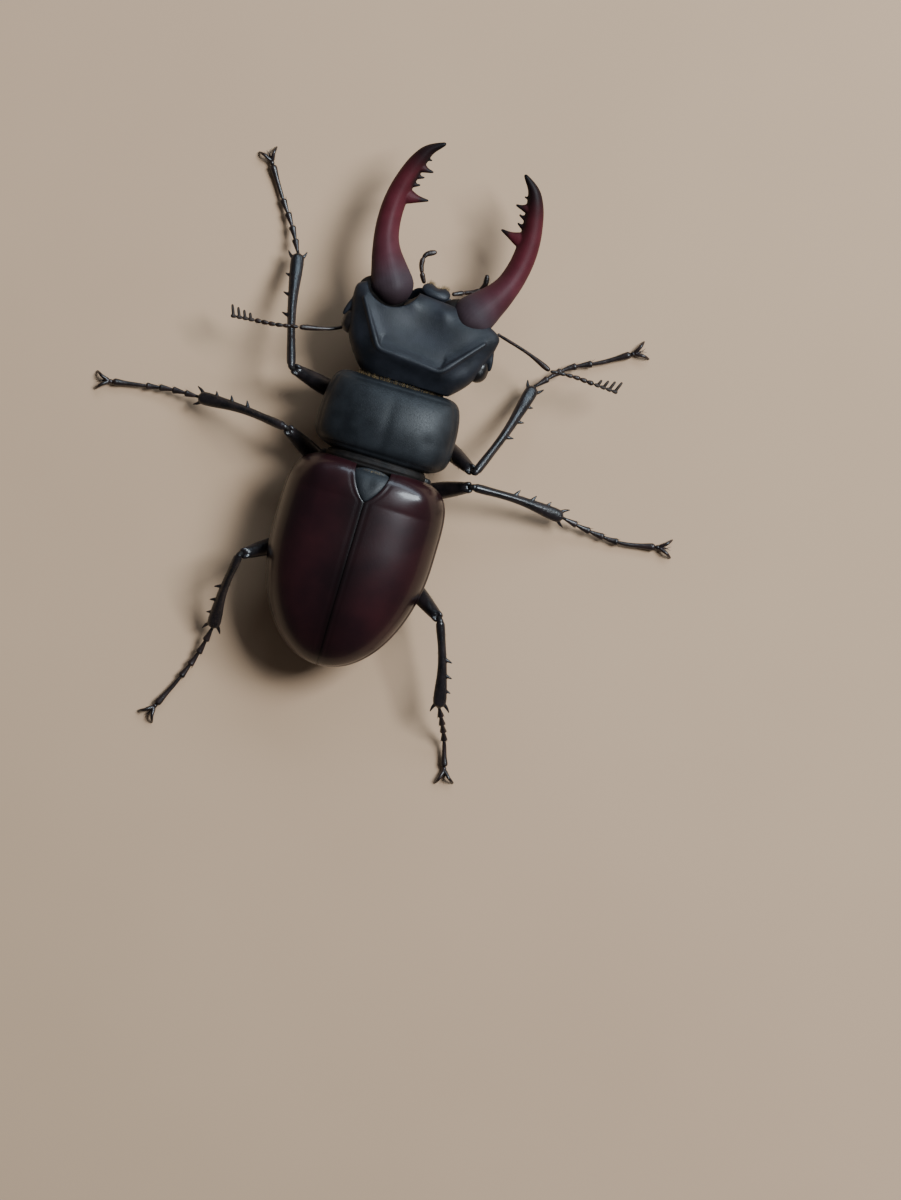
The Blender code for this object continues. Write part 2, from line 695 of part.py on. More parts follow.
def leg(name, chest, root, thigh, ankle, foot):
    """One leg, from the root segment in the chest to the pair of claws on the floor."""
    size = ROOT_SIZES[name.split("_")[0]]
    root_segment(f"root_{name}", root, size, colour="leg_black")
    boolean(chest, [root_segment("socket", root, size, GAP)], "DIFFERENCE")
    limb(f"thigh_{name}", thigh, THIGH, 8, "leg_black")
    hip, bend, knee = (Vector(p) for p in thigh)
    ankle, toe = Vector(ankle), Vector(foot[-1])
    thigh_way, shin_way = (knee - bend).normalized(), (ankle - knee).normalized()
    knee_end = knee + thigh_way * (GAP + 0.45 * (1 - thigh_way.dot(shin_way)))
    outer = shin_way.cross(UP).normalized()
    outer *= math.copysign(1, outer.dot(knee - hip))
    shin_line = [knee_end, knee_end.lerp(ankle, 0.5) + (outer + UP) * SHIN_BOW, ankle]
    shin = limb(f"shin_{name}", shin_line, SHIN, 8, "leg_black")
    shin_spines(shin, shin_line, outer)
    foot_start = ankle + (Vector(foot[0]) - ankle).normalized() * GAP
    limb(f"foot_{name}", [foot_start, *foot], foot_stations(), 6, "leg_black")
    claws(name, toe, toe - Vector(foot[-2]))


def shin_spines(shin, line, outer):
    """Three spines on the shin's outer edge, and two long spurs at its end."""
    path = smooth_path(line)
    along = (line[-1] - line[0]).normalized()
    spines = []
    for share in SHIN_SPINES:
        spines.append(spike(path(share), path(share) + outer * 1.4 + along * 0.65, 0.36))
    for way, reach in ((outer, 1.5), (-outer, 1.25)):
        base = path(0.94) + way * 0.38
        spines.append(spike(base, base + way * 0.95 + along * reach, 0.31))
    boolean(shin, spines, "UNION")


def foot_stations():
    """A foot's rings: four short bell-shaped joints and a long one, each pinched where it meets the last."""
    rings = []
    for joint in range(FOOT_JOINTS):
        start = 0.012 + joint * SHORT_JOINT
        rings.append((start, 0.3, 0.28))
        if joint < FOOT_JOINTS - 1:
            rings.append((start + SHORT_JOINT * 0.85, 0.56, 0.48))
    return [*rings, (0.8, 0.36, 0.36), (0.97, 0.52, 0.5)]


def claws(name, toe, ahead):
    """The pair of hooked claws, one bent tube from point to point, thickest at the knuckle between them."""
    ahead = Vector((ahead.x, ahead.y, 0)).normalized()
    across = UP.cross(ahead)
    knuckle = toe + ahead * (GAP + CLAW_THICK)
    hooks = []
    for side in SIDES.values():
        bend = knuckle + (ahead * 0.45 + across * side * 0.33) * CLAW_LENGTH + UP * 0.15
        point = knuckle + (ahead * 0.75 + across * side * 0.62) * CLAW_LENGTH
        point.z = CLAW_POINT / 2
        hooks.append([point, bend])
    half = [(0.01, CLAW_POINT, CLAW_POINT), (0.12, 0.25, 0.25), (0.28, 0.28, 0.28), (0.4, 0.3, 0.33)]
    other_half = [(1 - share, width, depth) for share, width, depth in reversed(half)]
    stations = [*half, (0.5, CLAW_THICK, CLAW_THICK), *other_half]
    limb(f"claws_{name}", [*hooks[0], knuckle, *reversed(hooks[1])], stations, 6, "leg_black")


# ------------------------------------------------------------------- assembly


def stand_over_origin():
    """Moves the beetle so that the middle of its outer box is over the origin."""
    bpy.context.view_layer.update()
    corners = [o.matrix_world @ Vector(c) for o in beetle.objects if o.type == "MESH" for c in o.bound_box]
    for axis in (0, 1):
        values = [corner[axis] for corner in corners]
        stance.location[axis] = -(min(values) + max(values)) / 2


hind_chest = trunk()
breast_plate = front_ring()
collar()
scutellum("scutellum", 0, -0.8, -0.12, "shell_black")
head()
lip()
chin_plate()
for side_name, side_sign in SIDES.items():
    wing_case(side_name, side_sign)
    eye(f"eye_{side_name}", side_sign, 0, "eye_black")
    jaw(side_name, side_sign)
    mouth_feeler(side_name)
    feeler(side_name)
for leg_name, leg_places in LEGS.items():
    leg(leg_name, breast_plate if leg_name.startswith("fore") else hind_chest, *leg_places)
stand_over_origin()
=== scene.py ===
from math import acos, atan2, copysign, cos, exp, pi, radians, sin, sqrt, tau
from random import seed, uniform

import bmesh
import bpy
from mathutils import Matrix, Vector


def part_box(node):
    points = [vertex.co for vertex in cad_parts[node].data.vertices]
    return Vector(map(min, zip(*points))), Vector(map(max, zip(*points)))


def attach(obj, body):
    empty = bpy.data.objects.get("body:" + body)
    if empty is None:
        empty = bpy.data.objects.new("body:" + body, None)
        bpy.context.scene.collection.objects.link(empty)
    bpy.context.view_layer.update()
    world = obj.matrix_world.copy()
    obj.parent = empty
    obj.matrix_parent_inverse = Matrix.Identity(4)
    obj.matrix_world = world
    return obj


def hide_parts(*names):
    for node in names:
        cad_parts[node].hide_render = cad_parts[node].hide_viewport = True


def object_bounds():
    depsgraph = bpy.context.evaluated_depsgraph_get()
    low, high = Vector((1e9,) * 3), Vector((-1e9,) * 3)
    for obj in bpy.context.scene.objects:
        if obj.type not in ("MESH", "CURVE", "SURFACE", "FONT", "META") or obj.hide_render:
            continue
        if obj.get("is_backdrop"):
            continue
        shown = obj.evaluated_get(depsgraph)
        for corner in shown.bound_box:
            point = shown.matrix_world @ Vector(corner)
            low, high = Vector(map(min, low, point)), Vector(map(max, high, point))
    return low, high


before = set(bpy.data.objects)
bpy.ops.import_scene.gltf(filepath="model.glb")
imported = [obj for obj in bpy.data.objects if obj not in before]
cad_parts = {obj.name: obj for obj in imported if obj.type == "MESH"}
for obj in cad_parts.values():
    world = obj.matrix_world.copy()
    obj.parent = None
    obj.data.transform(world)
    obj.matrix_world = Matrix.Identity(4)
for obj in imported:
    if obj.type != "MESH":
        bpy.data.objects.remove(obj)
cad_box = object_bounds()

# -------- the stance
# The beetle looks along -Y, its left side is +X, and lengths below are millimetres.
# Its places are counted from the middle of the front ring's hind margin, which is found
# from the narrow collar between the two, and the head's are counted from the neck.

MM = 0.001
GAP = 0.25  # of soft skin between plates that meet
UP = Vector((0, 0, 1))
SIDES = {"left": 1, "right": -1}
COLLAR_MIDDLE = Vector((0, 0.83, 6.15))
collar_low, collar_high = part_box("mid_chest")
ON_BODY = Matrix.Translation((collar_low + collar_high) / 2 / MM - COLLAR_MIDDLE)
NECK, HEAD_TURN = Vector((0, -10.3, 0)), radians(-5)
ON_NECK = ON_BODY @ Matrix.Translation(NECK) @ Matrix.Rotation(HEAD_TURN, 4, "Z")
seed(7)

# -------- hind chest, belly and collar
# The trunk under the wing cases: two tubs of brown-black cuticle, the hind one made of
# five overlapping belly rings. A narrow black collar joins it to the front ring.

DOME_FRONT, DOME_WIDEST, DOME_REAR = 0.5, 11.0, 27.9
DOME_HALF_WIDTH, DOME_EDGE, DOME_HEIGHT = 10.75, 8.0, 7.0
DOME_FRONT_POWER, DOME_REAR_POWER, DOME_SECTION_POWER = 4.8, 2.0, 2.25
TRUNK_INSET, TRUNK_EDGE = 1.15, 7.9
TRUNK_KEEL = [(2, 4.5), (5, 4.1), (9, 4.3), (14, 4.8), (20, 5.6), (27, 7.4)]
BELLY_FRONT, BELLY_RING = 11.0, 3.0


def between(table, at):
    """Reads a table of (key, value) rows at any key, along a smooth curve through the rows."""
    at = max(table[0][0], min(table[-1][0], at))
    row = max(0, next(i for i, (key, _) in enumerate(table) if key >= at) - 1)
    slopes = []
    for i in (row, row + 1):
        low, high = table[max(0, i - 1)], table[min(len(table) - 1, i + 1)]
        slopes.append((high[1] - low[1]) / (high[0] - low[0]))
    (low_key, low), (high_key, high) = table[row], table[row + 1]
    span = high_key - low_key
    t = (at - low_key) / span
    start, end = 2 * t**3 - 3 * t**2 + 1, 3 * t**2 - 2 * t**3
    leaving, arriving = t**3 - 2 * t**2 + t, t**3 - t**2
    return start * low + end * high + leaving * span * slopes[0] + arriving * span * slopes[1]


def along_line(line):
    """A function of 0 to 1 that runs at even speed along a line of points."""
    reach = [0.0]
    for a, b in zip(line, line[1:]):
        reach.append(reach[-1] + (b - a).length)

    def at(share):
        want = share * reach[-1]
        for i, high in enumerate(reach[1:]):
            if want <= high:
                return line[i].lerp(line[i + 1], (want - reach[i]) / (high - reach[i]))
        return line[-1]

    at.length = reach[-1]
    return at


def superellipse(power, steps=600):
    """A function of an angle that runs evenly round a superellipse: 2 is a circle, more is squarer."""
    corner = []
    for step in range(steps + 1):
        turn = step / steps * pi / 2
        corner.append(Vector((max(0, cos(turn)) ** (2 / power), sin(turn) ** (2 / power))))
    walk = along_line(corner)
    even = [walk(step / steps) for step in range(steps + 1)]

    def at(angle):
        fold = atan2(abs(sin(angle)), abs(cos(angle))) / (pi / 2) * steps
        low = min(steps - 1, int(fold))
        spot = even[low].lerp(even[low + 1], fold - low)
        return copysign(spot.x, cos(angle)), copysign(spot.y, sin(angle))

    return at


def hump(distance, width):
    """1 at no distance, falling smoothly away over the width."""
    return exp(-((distance / width) ** 2))


def ball(rings, sides, place, *more, bm=None):
    """Makes a ball or adds one to bm. place(angle from a pole, angle round, *more) sets its points."""
    if bm is None:
        bm = bmesh.new()
    made = bmesh.ops.create_uvsphere(bm, u_segments=sides, v_segments=rings, radius=1)
    for v in made["verts"]:
        v.co = place(acos(max(-1, min(1, v.co.z))), atan2(v.co.y, v.co.x), *more)
    return bm


def cut_flat(bm, point, keep_towards):
    """Cuts a closed shape at a plane and closes the cut."""
    everything = [*bm.verts, *bm.edges, *bm.faces]
    plane = {"plane_co": Vector(point), "plane_no": Vector(keep_towards)}
    cut = bmesh.ops.bisect_plane(bm, geom=everything, dist=0.0005, clear_inner=True, **plane)
    bmesh.ops.holes_fill(bm, edges=[e for e in cut["geom_cut"] if isinstance(e, bmesh.types.BMEdge)])


def node(tree, kind, values=(), settings=(), output=0, **wires):
    """Adds a shader node with its values and settings, wires its sockets and returns an output."""
    made = tree.nodes.new("ShaderNode" + kind)
    for name, value in dict(settings).items():
        setattr(made, name, value)
    for name, value in dict(values).items():
        made.inputs[name].default_value = value
    for name, source in wires.items():
        tree.links.new(source, made.inputs[name])
    return made.outputs[output]


def ramp(tree, source, *stops):
    """The colour that a value becomes on a ramp of (position, colour) stops."""
    made = node(tree, "ValToRGB", Fac=source)
    elements = made.node.color_ramp.elements
    for element, (position, colour) in zip(elements, (stops[0], stops[-1])):
        element.position, element.color = position, (*colour, 1)
    for position, colour in stops[1:-1]:
        elements.new(position).color = (*colour, 1)
    return made


def new_finish(name):
    """A new material, with its tree, its surface's inputs and the place that patterns are laid by."""
    made = bpy.data.materials.new(name)
    made.use_nodes = True
    tree = made.node_tree
    return made, tree, tree.nodes["Principled BSDF"].inputs, node(tree, "TexCoord", output="Object")


def cuticle(
    name, dark, light, roughness,
    patch=2.5, pit=0.3, pit_depth=0.02, grain=0.07, shine=0.5, coat=0.0, tint=None,
):
    """Hard insect skin: two shades in soft patches, a field of tiny pits and a fine grain.

    patch, pit and grain are the sizes of those. tint(tree, spot, colour) may change the colour.
    """
    made, tree, surface, spot = new_finish(name)
    surface["Specular IOR Level"].default_value = shine
    surface["Coat Weight"].default_value = coat
    surface["Coat Roughness"].default_value = 0.12
    patches = node(tree, "TexNoise", {"Scale": 1 / (patch * MM), "Detail": 3.0}, Vector=spot)
    colour = ramp(tree, patches, (0.35, dark), (0.68, light))
    if tint:
        colour = tint(tree, spot, colour)
    tree.links.new(colour, surface["Base Color"])
    grains = node(tree, "TexNoise", {"Scale": 1 / (grain * MM), "Detail": 2.0}, Vector=spot)
    rough = {"To Min": roughness - 0.07, "To Max": roughness + 0.09}
    gloss = node(tree, "MapRange", rough, Value=grains)
    tree.links.new(gloss, surface["Roughness"])
    pits = node(tree, "TexVoronoi", {"Scale": 1 / (pit * MM)}, Vector=spot)
    rounded = {"interpolation_type": "SMOOTHSTEP"}
    dips = node(tree, "MapRange", {"From Max": 0.55}, rounded, Value=pits)
    pitted = node(tree, "Bump", {"Distance": pit_depth * MM, "Strength": 1.0}, Height=dips)
    fine = {"Distance": 0.1 * grain * MM, "Strength": 1.0}
    grained = node(tree, "Bump", fine, Height=grains, Normal=pitted)
    tree.links.new(grained, surface["Normal"])
    return made


def in_scene(name, data):
    """Makes an object of some data and puts it in the scene."""
    made = bpy.data.objects.new(name, data)
    bpy.context.scene.collection.objects.link(made)
    return made


def set_down(bm, name):
    """Makes an object of a finished shape."""
    mesh = bpy.data.meshes.new(name)
    bm.to_mesh(mesh)
    bm.free()
    return in_scene(name, mesh)


def piece(name, bm, finish, place=ON_BODY, crease=45, stands_in=True):
    """Sets a shape in the frame, with its finish. It stands in for the solid of its name."""
    bmesh.ops.remove_doubles(bm, verts=bm.verts, dist=0.0001)
    bmesh.ops.recalc_face_normals(bm, faces=bm.faces)
    if bm.calc_volume(signed=True) < 0:
        bmesh.ops.reverse_faces(bm, faces=bm.faces)
    bmesh.ops.transform(bm, matrix=Matrix.Scale(MM, 4) @ place, verts=bm.verts)
    made = set_down(bm, f"{name}_skin")
    made.data.shade_smooth()
    made.data.set_sharp_from_angle(angle=radians(crease))
    made.data.materials.append(finish)
    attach(made, "root")
    if stands_in:
        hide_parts(name)
    return made


def dome_z(x, y):
    """The height of the wing cases' dome over a point of its front half."""
    share = (DOME_WIDEST - y) / (DOME_WIDEST - DOME_FRONT)
    taper = (1 - share**DOME_FRONT_POWER) ** (1 / DOME_FRONT_POWER)
    across = min(1, abs(x) / (DOME_HALF_WIDTH * taper))
    return DOME_EDGE + DOME_HEIGHT * taper * (1 - across**DOME_SECTION_POWER) ** (1 / DOME_SECTION_POWER)


dome_front, dome_rear = superellipse(DOME_FRONT_POWER), superellipse(DOME_REAR_POWER)
dome_section = superellipse(DOME_SECTION_POWER)


def on_dome(turn, around, inset=0.0):
    """A point of the dome, or of a like one inside it: x, y and the rise above its edge."""
    if turn < pi / 2:
        ahead, taper = dome_front(turn)
        y = DOME_WIDEST - ahead * (DOME_WIDEST - DOME_FRONT - inset)
    else:
        ahead, taper = dome_rear(turn)
        y = DOME_WIDEST - ahead * (DOME_REAR - DOME_WIDEST - inset)
    out, up = dome_section(around)
    return (DOME_HALF_WIDTH - inset) * taper * out, y, (DOME_HEIGHT - inset) * taper * up


def trunk_point(turn, around):
    x, y, rise = on_dome(turn, around, TRUNK_INSET)
    if rise < 0:
        rise *= (TRUNK_EDGE - between(TRUNK_KEEL, y)) / (DOME_HEIGHT - TRUNK_INSET)
        under = min(1, -rise / 1.5)
        if y > BELLY_FRONT:
            ring = (y - BELLY_FRONT) / BELLY_RING % 1
            rise -= 0.22 * under * (ring - 0.5 - hump(ring - 1, 0.12))
        else:
            rise += under * (0.25 * hump(x, 0.35) + 0.3 * hump(abs(x) - 5.6, 0.5) * hump(y - 6, 3))
    return Vector((x, y, TRUNK_EDGE + rise))


belly_skin = cuticle(
    "belly_cuticle", (0.012, 0.007, 0.006), (0.036, 0.016, 0.011), 0.4, pit=0.22, pit_depth=0.03
)
for part, way, slot in (("hind_chest", -1, "underside"), ("belly", 1, "belly")):
    shape = ball(150, 160, trunk_point)
    cut_flat(shape, (0, BELLY_FRONT, 0), (0, way, 0))
    piece(part, shape, belly_skin)

COLLAR_SIZE = Vector((7.6, 0.8, 1.45))
collar_ring, collar_section = superellipse(6), superellipse(2.4)


def collar_point(turn, around):
    ahead, taper = collar_ring(turn)
    out, up = collar_section(around)
    return COLLAR_MIDDLE + COLLAR_SIZE * Vector((taper * out, -ahead, taper * up))


black_skin = cuticle(
    "black_cuticle", (0.008, 0.008, 0.009), (0.020, 0.018, 0.019), 0.36, pit=0.25, pit_depth=0.02
)
piece("mid_chest", ball(32, 64, collar_point), black_skin)

# -------- the front ring
# The broad shield behind the head, of black cuticle with a dull blue-grey sheen, finely
# grained, with a raised bead round its margin. It rests on the breast like a lid.

SHIELD_FRONT, SHIELD_REAR, SHIELD_EDGE = -10.5, -0.25, 9.3
SHIELD_OUTLINE = [(-10.5, 7.9), (-9, 8.6), (-6.5, 9.15), (-3.5, 9.25), (-1.7, 9.0), (-0.25, 8.1)]
SHIELD_TOP = [(-10.5, 12.7), (-8, 13.9), (-5, 14.5), (-2, 14.2), (-0.25, 13.6)]
BREAST_SHARE, BREAST_DROP = 0.985, 0.3  # against the shield's width and edge
BREAST_KEEL = [(-10.5, 5.4), (-7, 4.6), (-4, 4.5), (-0.25, 5.2)]
shield_ring, shield_section, breast_section = superellipse(7), superellipse(2.25), superellipse(2)


def front_ring_point(turn, around, section, reach_at):
    """A point of the front ring. reach_at(y, up) is how far its skin stands from the side margin."""
    ahead, taper = shield_ring(turn)
    y = (SHIELD_FRONT + SHIELD_REAR) / 2 - (SHIELD_REAR - SHIELD_FRONT) / 2 * ahead
    out, up = section(around)
    across = taper * out
    corners_forward = -0.75 * across**4 * max(0, ahead) ** 0.5
    middle_back = 0.25 * (1 - across**2) * max(0, -ahead)
    x = across * between(SHIELD_OUTLINE, y)
    return Vector((x, y + corners_forward + middle_back, SHIELD_EDGE + reach_at(y, up) * taper * up))


def shield_point(turn, around):
    def reach_at(y, up):
        return between(SHIELD_TOP, y) - SHIELD_EDGE if up > 0 else 0.45

    spot = front_ring_point(turn, around, shield_section, reach_at)
    if spot.z > SHIELD_EDGE:
        from_ends = min(spot.y - SHIELD_FRONT, SHIELD_REAR - spot.y)
        from_side = between(SHIELD_OUTLINE, spot.y) - abs(spot.x)
        gutter = max(hump(from_ends - 0.62, 0.2), hump(from_side - 0.55, 0.22))
        furrow = hump(spot.x, 0.7) * hump(spot.y + 4.5, 4)
        dimples = hump((Vector((abs(spot.x), spot.y)) - Vector((5.9, -4.2))).length, 0.9)
        spot.z -= 0.13 * gutter + 0.09 * furrow + 0.1 * dimples
    return spot


def breast_point(turn, around):
    def reach_at(y, up):
        return SHIELD_EDGE - between(BREAST_KEEL, y) if up < 0 else 0.3

    spot = front_ring_point(turn, around, breast_section, reach_at)
    spot.x *= BREAST_SHARE
    spot.z -= BREAST_DROP
    return spot


satin_black = cuticle(
    "shield_cuticle", (0.009, 0.010, 0.012), (0.019, 0.021, 0.024), 0.42,
    pit=0.11, pit_depth=0.012, grain=0.05, shine=0.3,
)
piece("neck_shield", ball(151, 200, shield_point), satin_black)
piece("breast", ball(90, 120, breast_point), black_skin)

# -------- the soft hinges
# Where the head meets the front ring, the ring the wing cases, and a jaw its socket, dark
# folded skin fills the gap, so that it can bend there. It reaches into both neighbours. Its
# near-black, dull finish is partly the skin's own and partly painted shade for the shadowed gaps.

SOFT_HINGES = {  # middle, half the size
    "neck_fold": (Vector((-0.1, -10.6, 8.9)), Vector((5.9, 1.5, 2.7))),
    "waist_fold": (Vector((0, 0.5, 9.0)), Vector((6.8, 1.9, 4.3))),
    "jaw_fold_left": (Vector((5.6, -21.6, 8.2)), Vector((3.3, 2.2, 1.7))),
    "jaw_fold_right": (Vector((-5.6, -21.6, 8.2)), Vector((3.3, 2.2, 1.7))),
}


def fold_point(turn, around, middle, size):
    ahead, taper = shield_section(turn)
    out, up = shield_section(around)
    pleat = 1 + 0.012 * cos(20 * ahead)
    return middle + size * Vector((taper * out, -ahead, taper * up * pleat))


# Painted shade: this near-black, dull skin is darker than the black plates so that the gaps it fills read as
# shadowed; the leg folds share it.
hinge_skin_and_painted_shade = cuticle(
    "soft_skin_and_painted_shade", (0.006, 0.005, 0.005), (0.016, 0.012, 0.010), 0.6,
    patch=0.9, pit=0.14, pit_depth=0.02, shine=0.2,
)
for name, (middle, size) in SOFT_HINGES.items():
    shape = ball(60, 90, fold_point, middle, size)
    piece(name, shape, hinge_skin_and_painted_shade, stands_in=False)

# -------- scutellum, wing cases
# Two hard, glossy wing cases of chestnut chitin meet in a straight seam, darkest there and
# at the margins, and a tongue locks it shut. The small heart-shaped scutellum sits in a notch
# at the seam's front end.

SCUTELLUM_HALF_WIDTH, SCUTELLUM_FRONT, SCUTELLUM_TIP = 2.35, 1.15, 5.6
CASE_THICK, CASE_START, TONGUE_START = 0.6, 0.1 * pi, 0.36 * pi
SHOULDER = Vector((7.4, 2.9))


def scutellum_width(y):
    share = max(0, min(1, (y - SCUTELLUM_FRONT) / (SCUTELLUM_TIP - SCUTELLUM_FRONT)))
    return SCUTELLUM_HALF_WIDTH * min(1, 9 * share) ** 0.4 * (1 - share**1.7) ** 0.75


def scutellum_point(turn, around):
    out, up = shield_section(around)
    y = SCUTELLUM_FRONT + (SCUTELLUM_TIP - SCUTELLUM_FRONT) * (1 - cos(turn)) / 2
    x = (scutellum_width(y) + 0.12 * sin(turn)) * out
    dip = 0.1 * hump(x, 0.8) * hump(y - 3, 1.2)
    return Vector((x, y, dome_z(x, max(y, 1.6)) - 0.45 + 0.42 * sin(turn) ** 0.5 * up - dip))


def case_point(share_across, share_along, side):
    """A point of a wing case, by its shares of the way from seam to margin and from front to rear."""
    turn = CASE_START + (pi - CASE_START) * share_along
    x, y, rise = on_dome(turn, pi / 2 * (1 - share_across))
    outer = on_dome(turn, 0)[0]
    seam = GAP / 6 + scutellum_width(max(y, SCUTELLUM_FRONT + 0.5))
    x = seam + x * max(0, 1 - seam / max(outer, seam))
    from_seam = x - seam
    shoulder = hump((Vector((x, y)) - SHOULDER).length, 1.5)
    lift = 0.32 * shoulder - 0.05 * hump(from_seam, 0.12) - 0.05 * hump(from_seam - 0.62, 0.2)
    flange = 0.16 * hump(rise, 0.35) - 0.12 * hump(rise - 0.75, 0.3)
    return Vector((side * (x + flange), y, DOME_EDGE + rise + lift))


def tongue_point(turn, around):
    """A point of the thin rod under the crest that locks the two cases together along the seam."""
    thin = sin(turn) ** 0.4
    along = TONGUE_START + (pi - TONGUE_START) * turn / pi
    _, y, rise = on_dome(along, pi / 2, CASE_THICK / 2 - 0.13 * thin * sin(around))
    return Vector((0.16 * thin * cos(around), y, DOME_EDGE + rise))


def multiplied(tree, amount, first, second):
    """The first colour, darkened by the second to the amount given."""
    wires = {"Color1": first, "Color2": second}
    return node(tree, "MixRGB", {"Fac": amount}, {"blend_type": "MULTIPLY"}, **wires)


def chestnut(tree, spot, colour):
    """Darkens the wing cases along the seam and towards the margin."""
    middle = (ON_BODY @ Vector((0, 12, 0))) * MM
    centred = node(tree, "Mapping", {"Location": -middle}, Vector=spot)
    parts = node(tree, "SeparateXYZ", Vector=centred)
    off = node(tree, "Math", (), {"operation": "ABSOLUTE"}, Value=parts)
    share = node(tree, "MapRange", {"From Max": DOME_HALF_WIDTH * MM}, Value=off)
    seam, margin = (0.0, (0.16, 0.14, 0.14)), (0.98, (0.35, 0.28, 0.3))
    greys = ((0.05, 0.45), (0.3, 0.85), (0.55, 1.0), (0.8, 0.8))
    between_them = [(position, (grey,) * 3) for position, grey in greys]
    return multiplied(tree, 1.0, colour, ramp(tree, share, seam, *between_them, margin))


wing_case_skin = cuticle(
    "wing_case_chitin", (0.017, 0.005, 0.007), (0.033, 0.008, 0.010), 0.32,
    patch=6, pit=0.2, pit_depth=0.004, shine=0.3, coat=0.3, tint=chestnut,
)
for name, side in SIDES.items():
    shape = bmesh.new()
    bmesh.ops.create_grid(shape, x_segments=70, y_segments=150, size=0.5)
    for v in shape.verts:
        v.co = case_point(v.co.x + 0.5, v.co.y + 0.5, side)
    bmesh.ops.remove_doubles(shape, verts=shape.verts, dist=0.001)
    bmesh.ops.recalc_face_normals(shape, faces=shape.faces)
    if sum(f.normal.z * f.calc_area() for f in shape.faces) < 0:
        bmesh.ops.reverse_faces(shape, faces=shape.faces)
    bmesh.ops.solidify(shape, geom=shape.faces[:], thickness=CASE_THICK)
    for v in shape.verts:
        v.co.x = side * max(GAP / 6, side * v.co.x)
    piece(f"wing_case_{name}", shape, wing_case_skin)
shape = ball(90, 12, tongue_point)
piece("seam_tongue", shape, wing_case_skin, stands_in=False)
piece("scutellum", ball(60, 64, scutellum_point), satin_black)

# -------- the head
# One broad black capsule, flat and a little hollow in front, with a sharp brow ridge that
# bends forward over each cheek, and a deep rounded notch for each jaw. A lip and a chin
# plate of the same cuticle close the mouth from above and below.

HEAD_EDGE = 9.5
HEAD_OUTLINE = [
    (-0.3, 6.2), (1.3, 7.0), (2.5, 7.8), (3.8, 8.6), (5.4, 9.2),
    (7.6, 9.7), (9.6, 10.2), (11.0, 10.4), (11.9, 9.2), (12.5, 7.5),
]
HEAD_TOP = [
    (-0.3, 11.9), (1.6, 12.4), (3.4, 12.9), (5.5, 12.6),
    (8, 12.1), (10, 11.5), (11.6, 10.7), (12.5, 10.2),
]
HEAD_KEEL = [(-0.3, 6.6), (3, 5.7), (8, 5.5), (11, 6.4), (12.5, 7.4)]
RIDGE_CORNER, RIDGE_END = Vector((4.4, 3.6)), Vector((8.6, 9.4))
JAW_HINGE, NECK_GAP = Vector((5.6, 10.5)), 0.55
LIP_MIDDLE, LIP_SIZE = Vector((0, 13.45, 8.525)), Vector((1.95, 0.95, 0.7))
CHIN_MIDDLE, CHIN_SIZE = Vector((0, 11.2, 5.494)), Vector((3.63, 2.3, 0.42))
NOTCH_MIDDLE, NOTCH_RADIUS, NOTCH_FLOOR = 13.0, 3.7, 6.6
SOFT_EDGES = 80  # degrees: only a sharper fold than this shows as an edge
CROWN_POWER = 2.7
head_ring, head_crown, head_under = superellipse(5), superellipse(CROWN_POWER), superellipse(2.2)


def from_ridge(x, ahead):
    """How far a place is from the brow ridge's line, which is bent at a corner on each side."""
    spot, run = Vector((abs(x), ahead)), RIDGE_END - RIDGE_CORNER
    if spot.x < RIDGE_CORNER.x:
        return abs(ahead - RIDGE_CORNER.y)
    share = max(0, min(1, (spot - RIDGE_CORNER).dot(run) / run.length_squared))
    return (spot - RIDGE_CORNER - run * share).length


def head_point(turn, around):
    rear, front = HEAD_OUTLINE[0][0], HEAD_OUTLINE[-1][0]
    way, taper = head_ring(turn)
    ahead = (front + rear) / 2 + (front - rear) / 2 * way
    upper = sin(around) > 0
    out, up = (head_crown if upper else head_under)(around)
    reach = between(HEAD_TOP, ahead) - HEAD_EDGE if upper else HEAD_EDGE - between(HEAD_KEEL, ahead)
    x = between(HEAD_OUTLINE, ahead) * taper * out
    z = HEAD_EDGE + reach * taper * up
    if upper:
        off = from_ridge(x, ahead)
        z += 0.45 * up * hump(off, 0.85)
        z -= 0.75 * up * hump(x, 4.6) * hump(ahead - 8.2, 2.6)
        z += 0.3 * up * hump(abs(x) - 2.2, 1.1) * hump(ahead - 11.2, 1.0)
    return Vector((x, -ahead, z))


def jaw_notch_point(turn, around, side):
    tall, wide = head_ring(turn)
    x = side * (JAW_HINGE.x + NOTCH_RADIUS * wide * cos(around))
    ahead = NOTCH_MIDDLE + NOTCH_RADIUS * wide * sin(around)
    return Vector((x, -ahead, NOTCH_FLOOR + 4 + 4 * tall))


def workpiece(bm):
    bmesh.ops.recalc_face_normals(bm, faces=bm.faces)
    return set_down(bm, "workpiece")


def without(bm, cutter):
    """Cuts one closed shape from another."""
    pair = [workpiece(bm), workpiece(cutter)]
    cut = pair[0].modifiers.new("cut", "BOOLEAN")
    cut.operation, cut.solver, cut.object = "DIFFERENCE", "EXACT", pair[1]
    return taken_back(pair)


def taken_back(workpieces):
    """The first workpiece's finished shape. The workpieces are then removed."""
    bpy.context.view_layer.update()
    finished = workpieces[0].evaluated_get(bpy.context.evaluated_depsgraph_get())
    bm = bmesh.new()
    bm.from_mesh(finished.to_mesh())
    finished.to_mesh_clear()
    for old in workpieces:
        bpy.data.meshes.remove(old.data)
    return bm


def melted(bm, grain, smoothing):
    """Melts overlapping closed shapes into one skin, made of squares of the size of grain."""
    lump = workpiece(bm)
    melt = lump.modifiers.new("melt", "REMESH")
    melt.mode, melt.voxel_size = "VOXEL", grain
    smooth = lump.modifiers.new("smooth", "SMOOTH")
    smooth.factor, smooth.iterations = 0.5, smoothing
    return taken_back([lump])


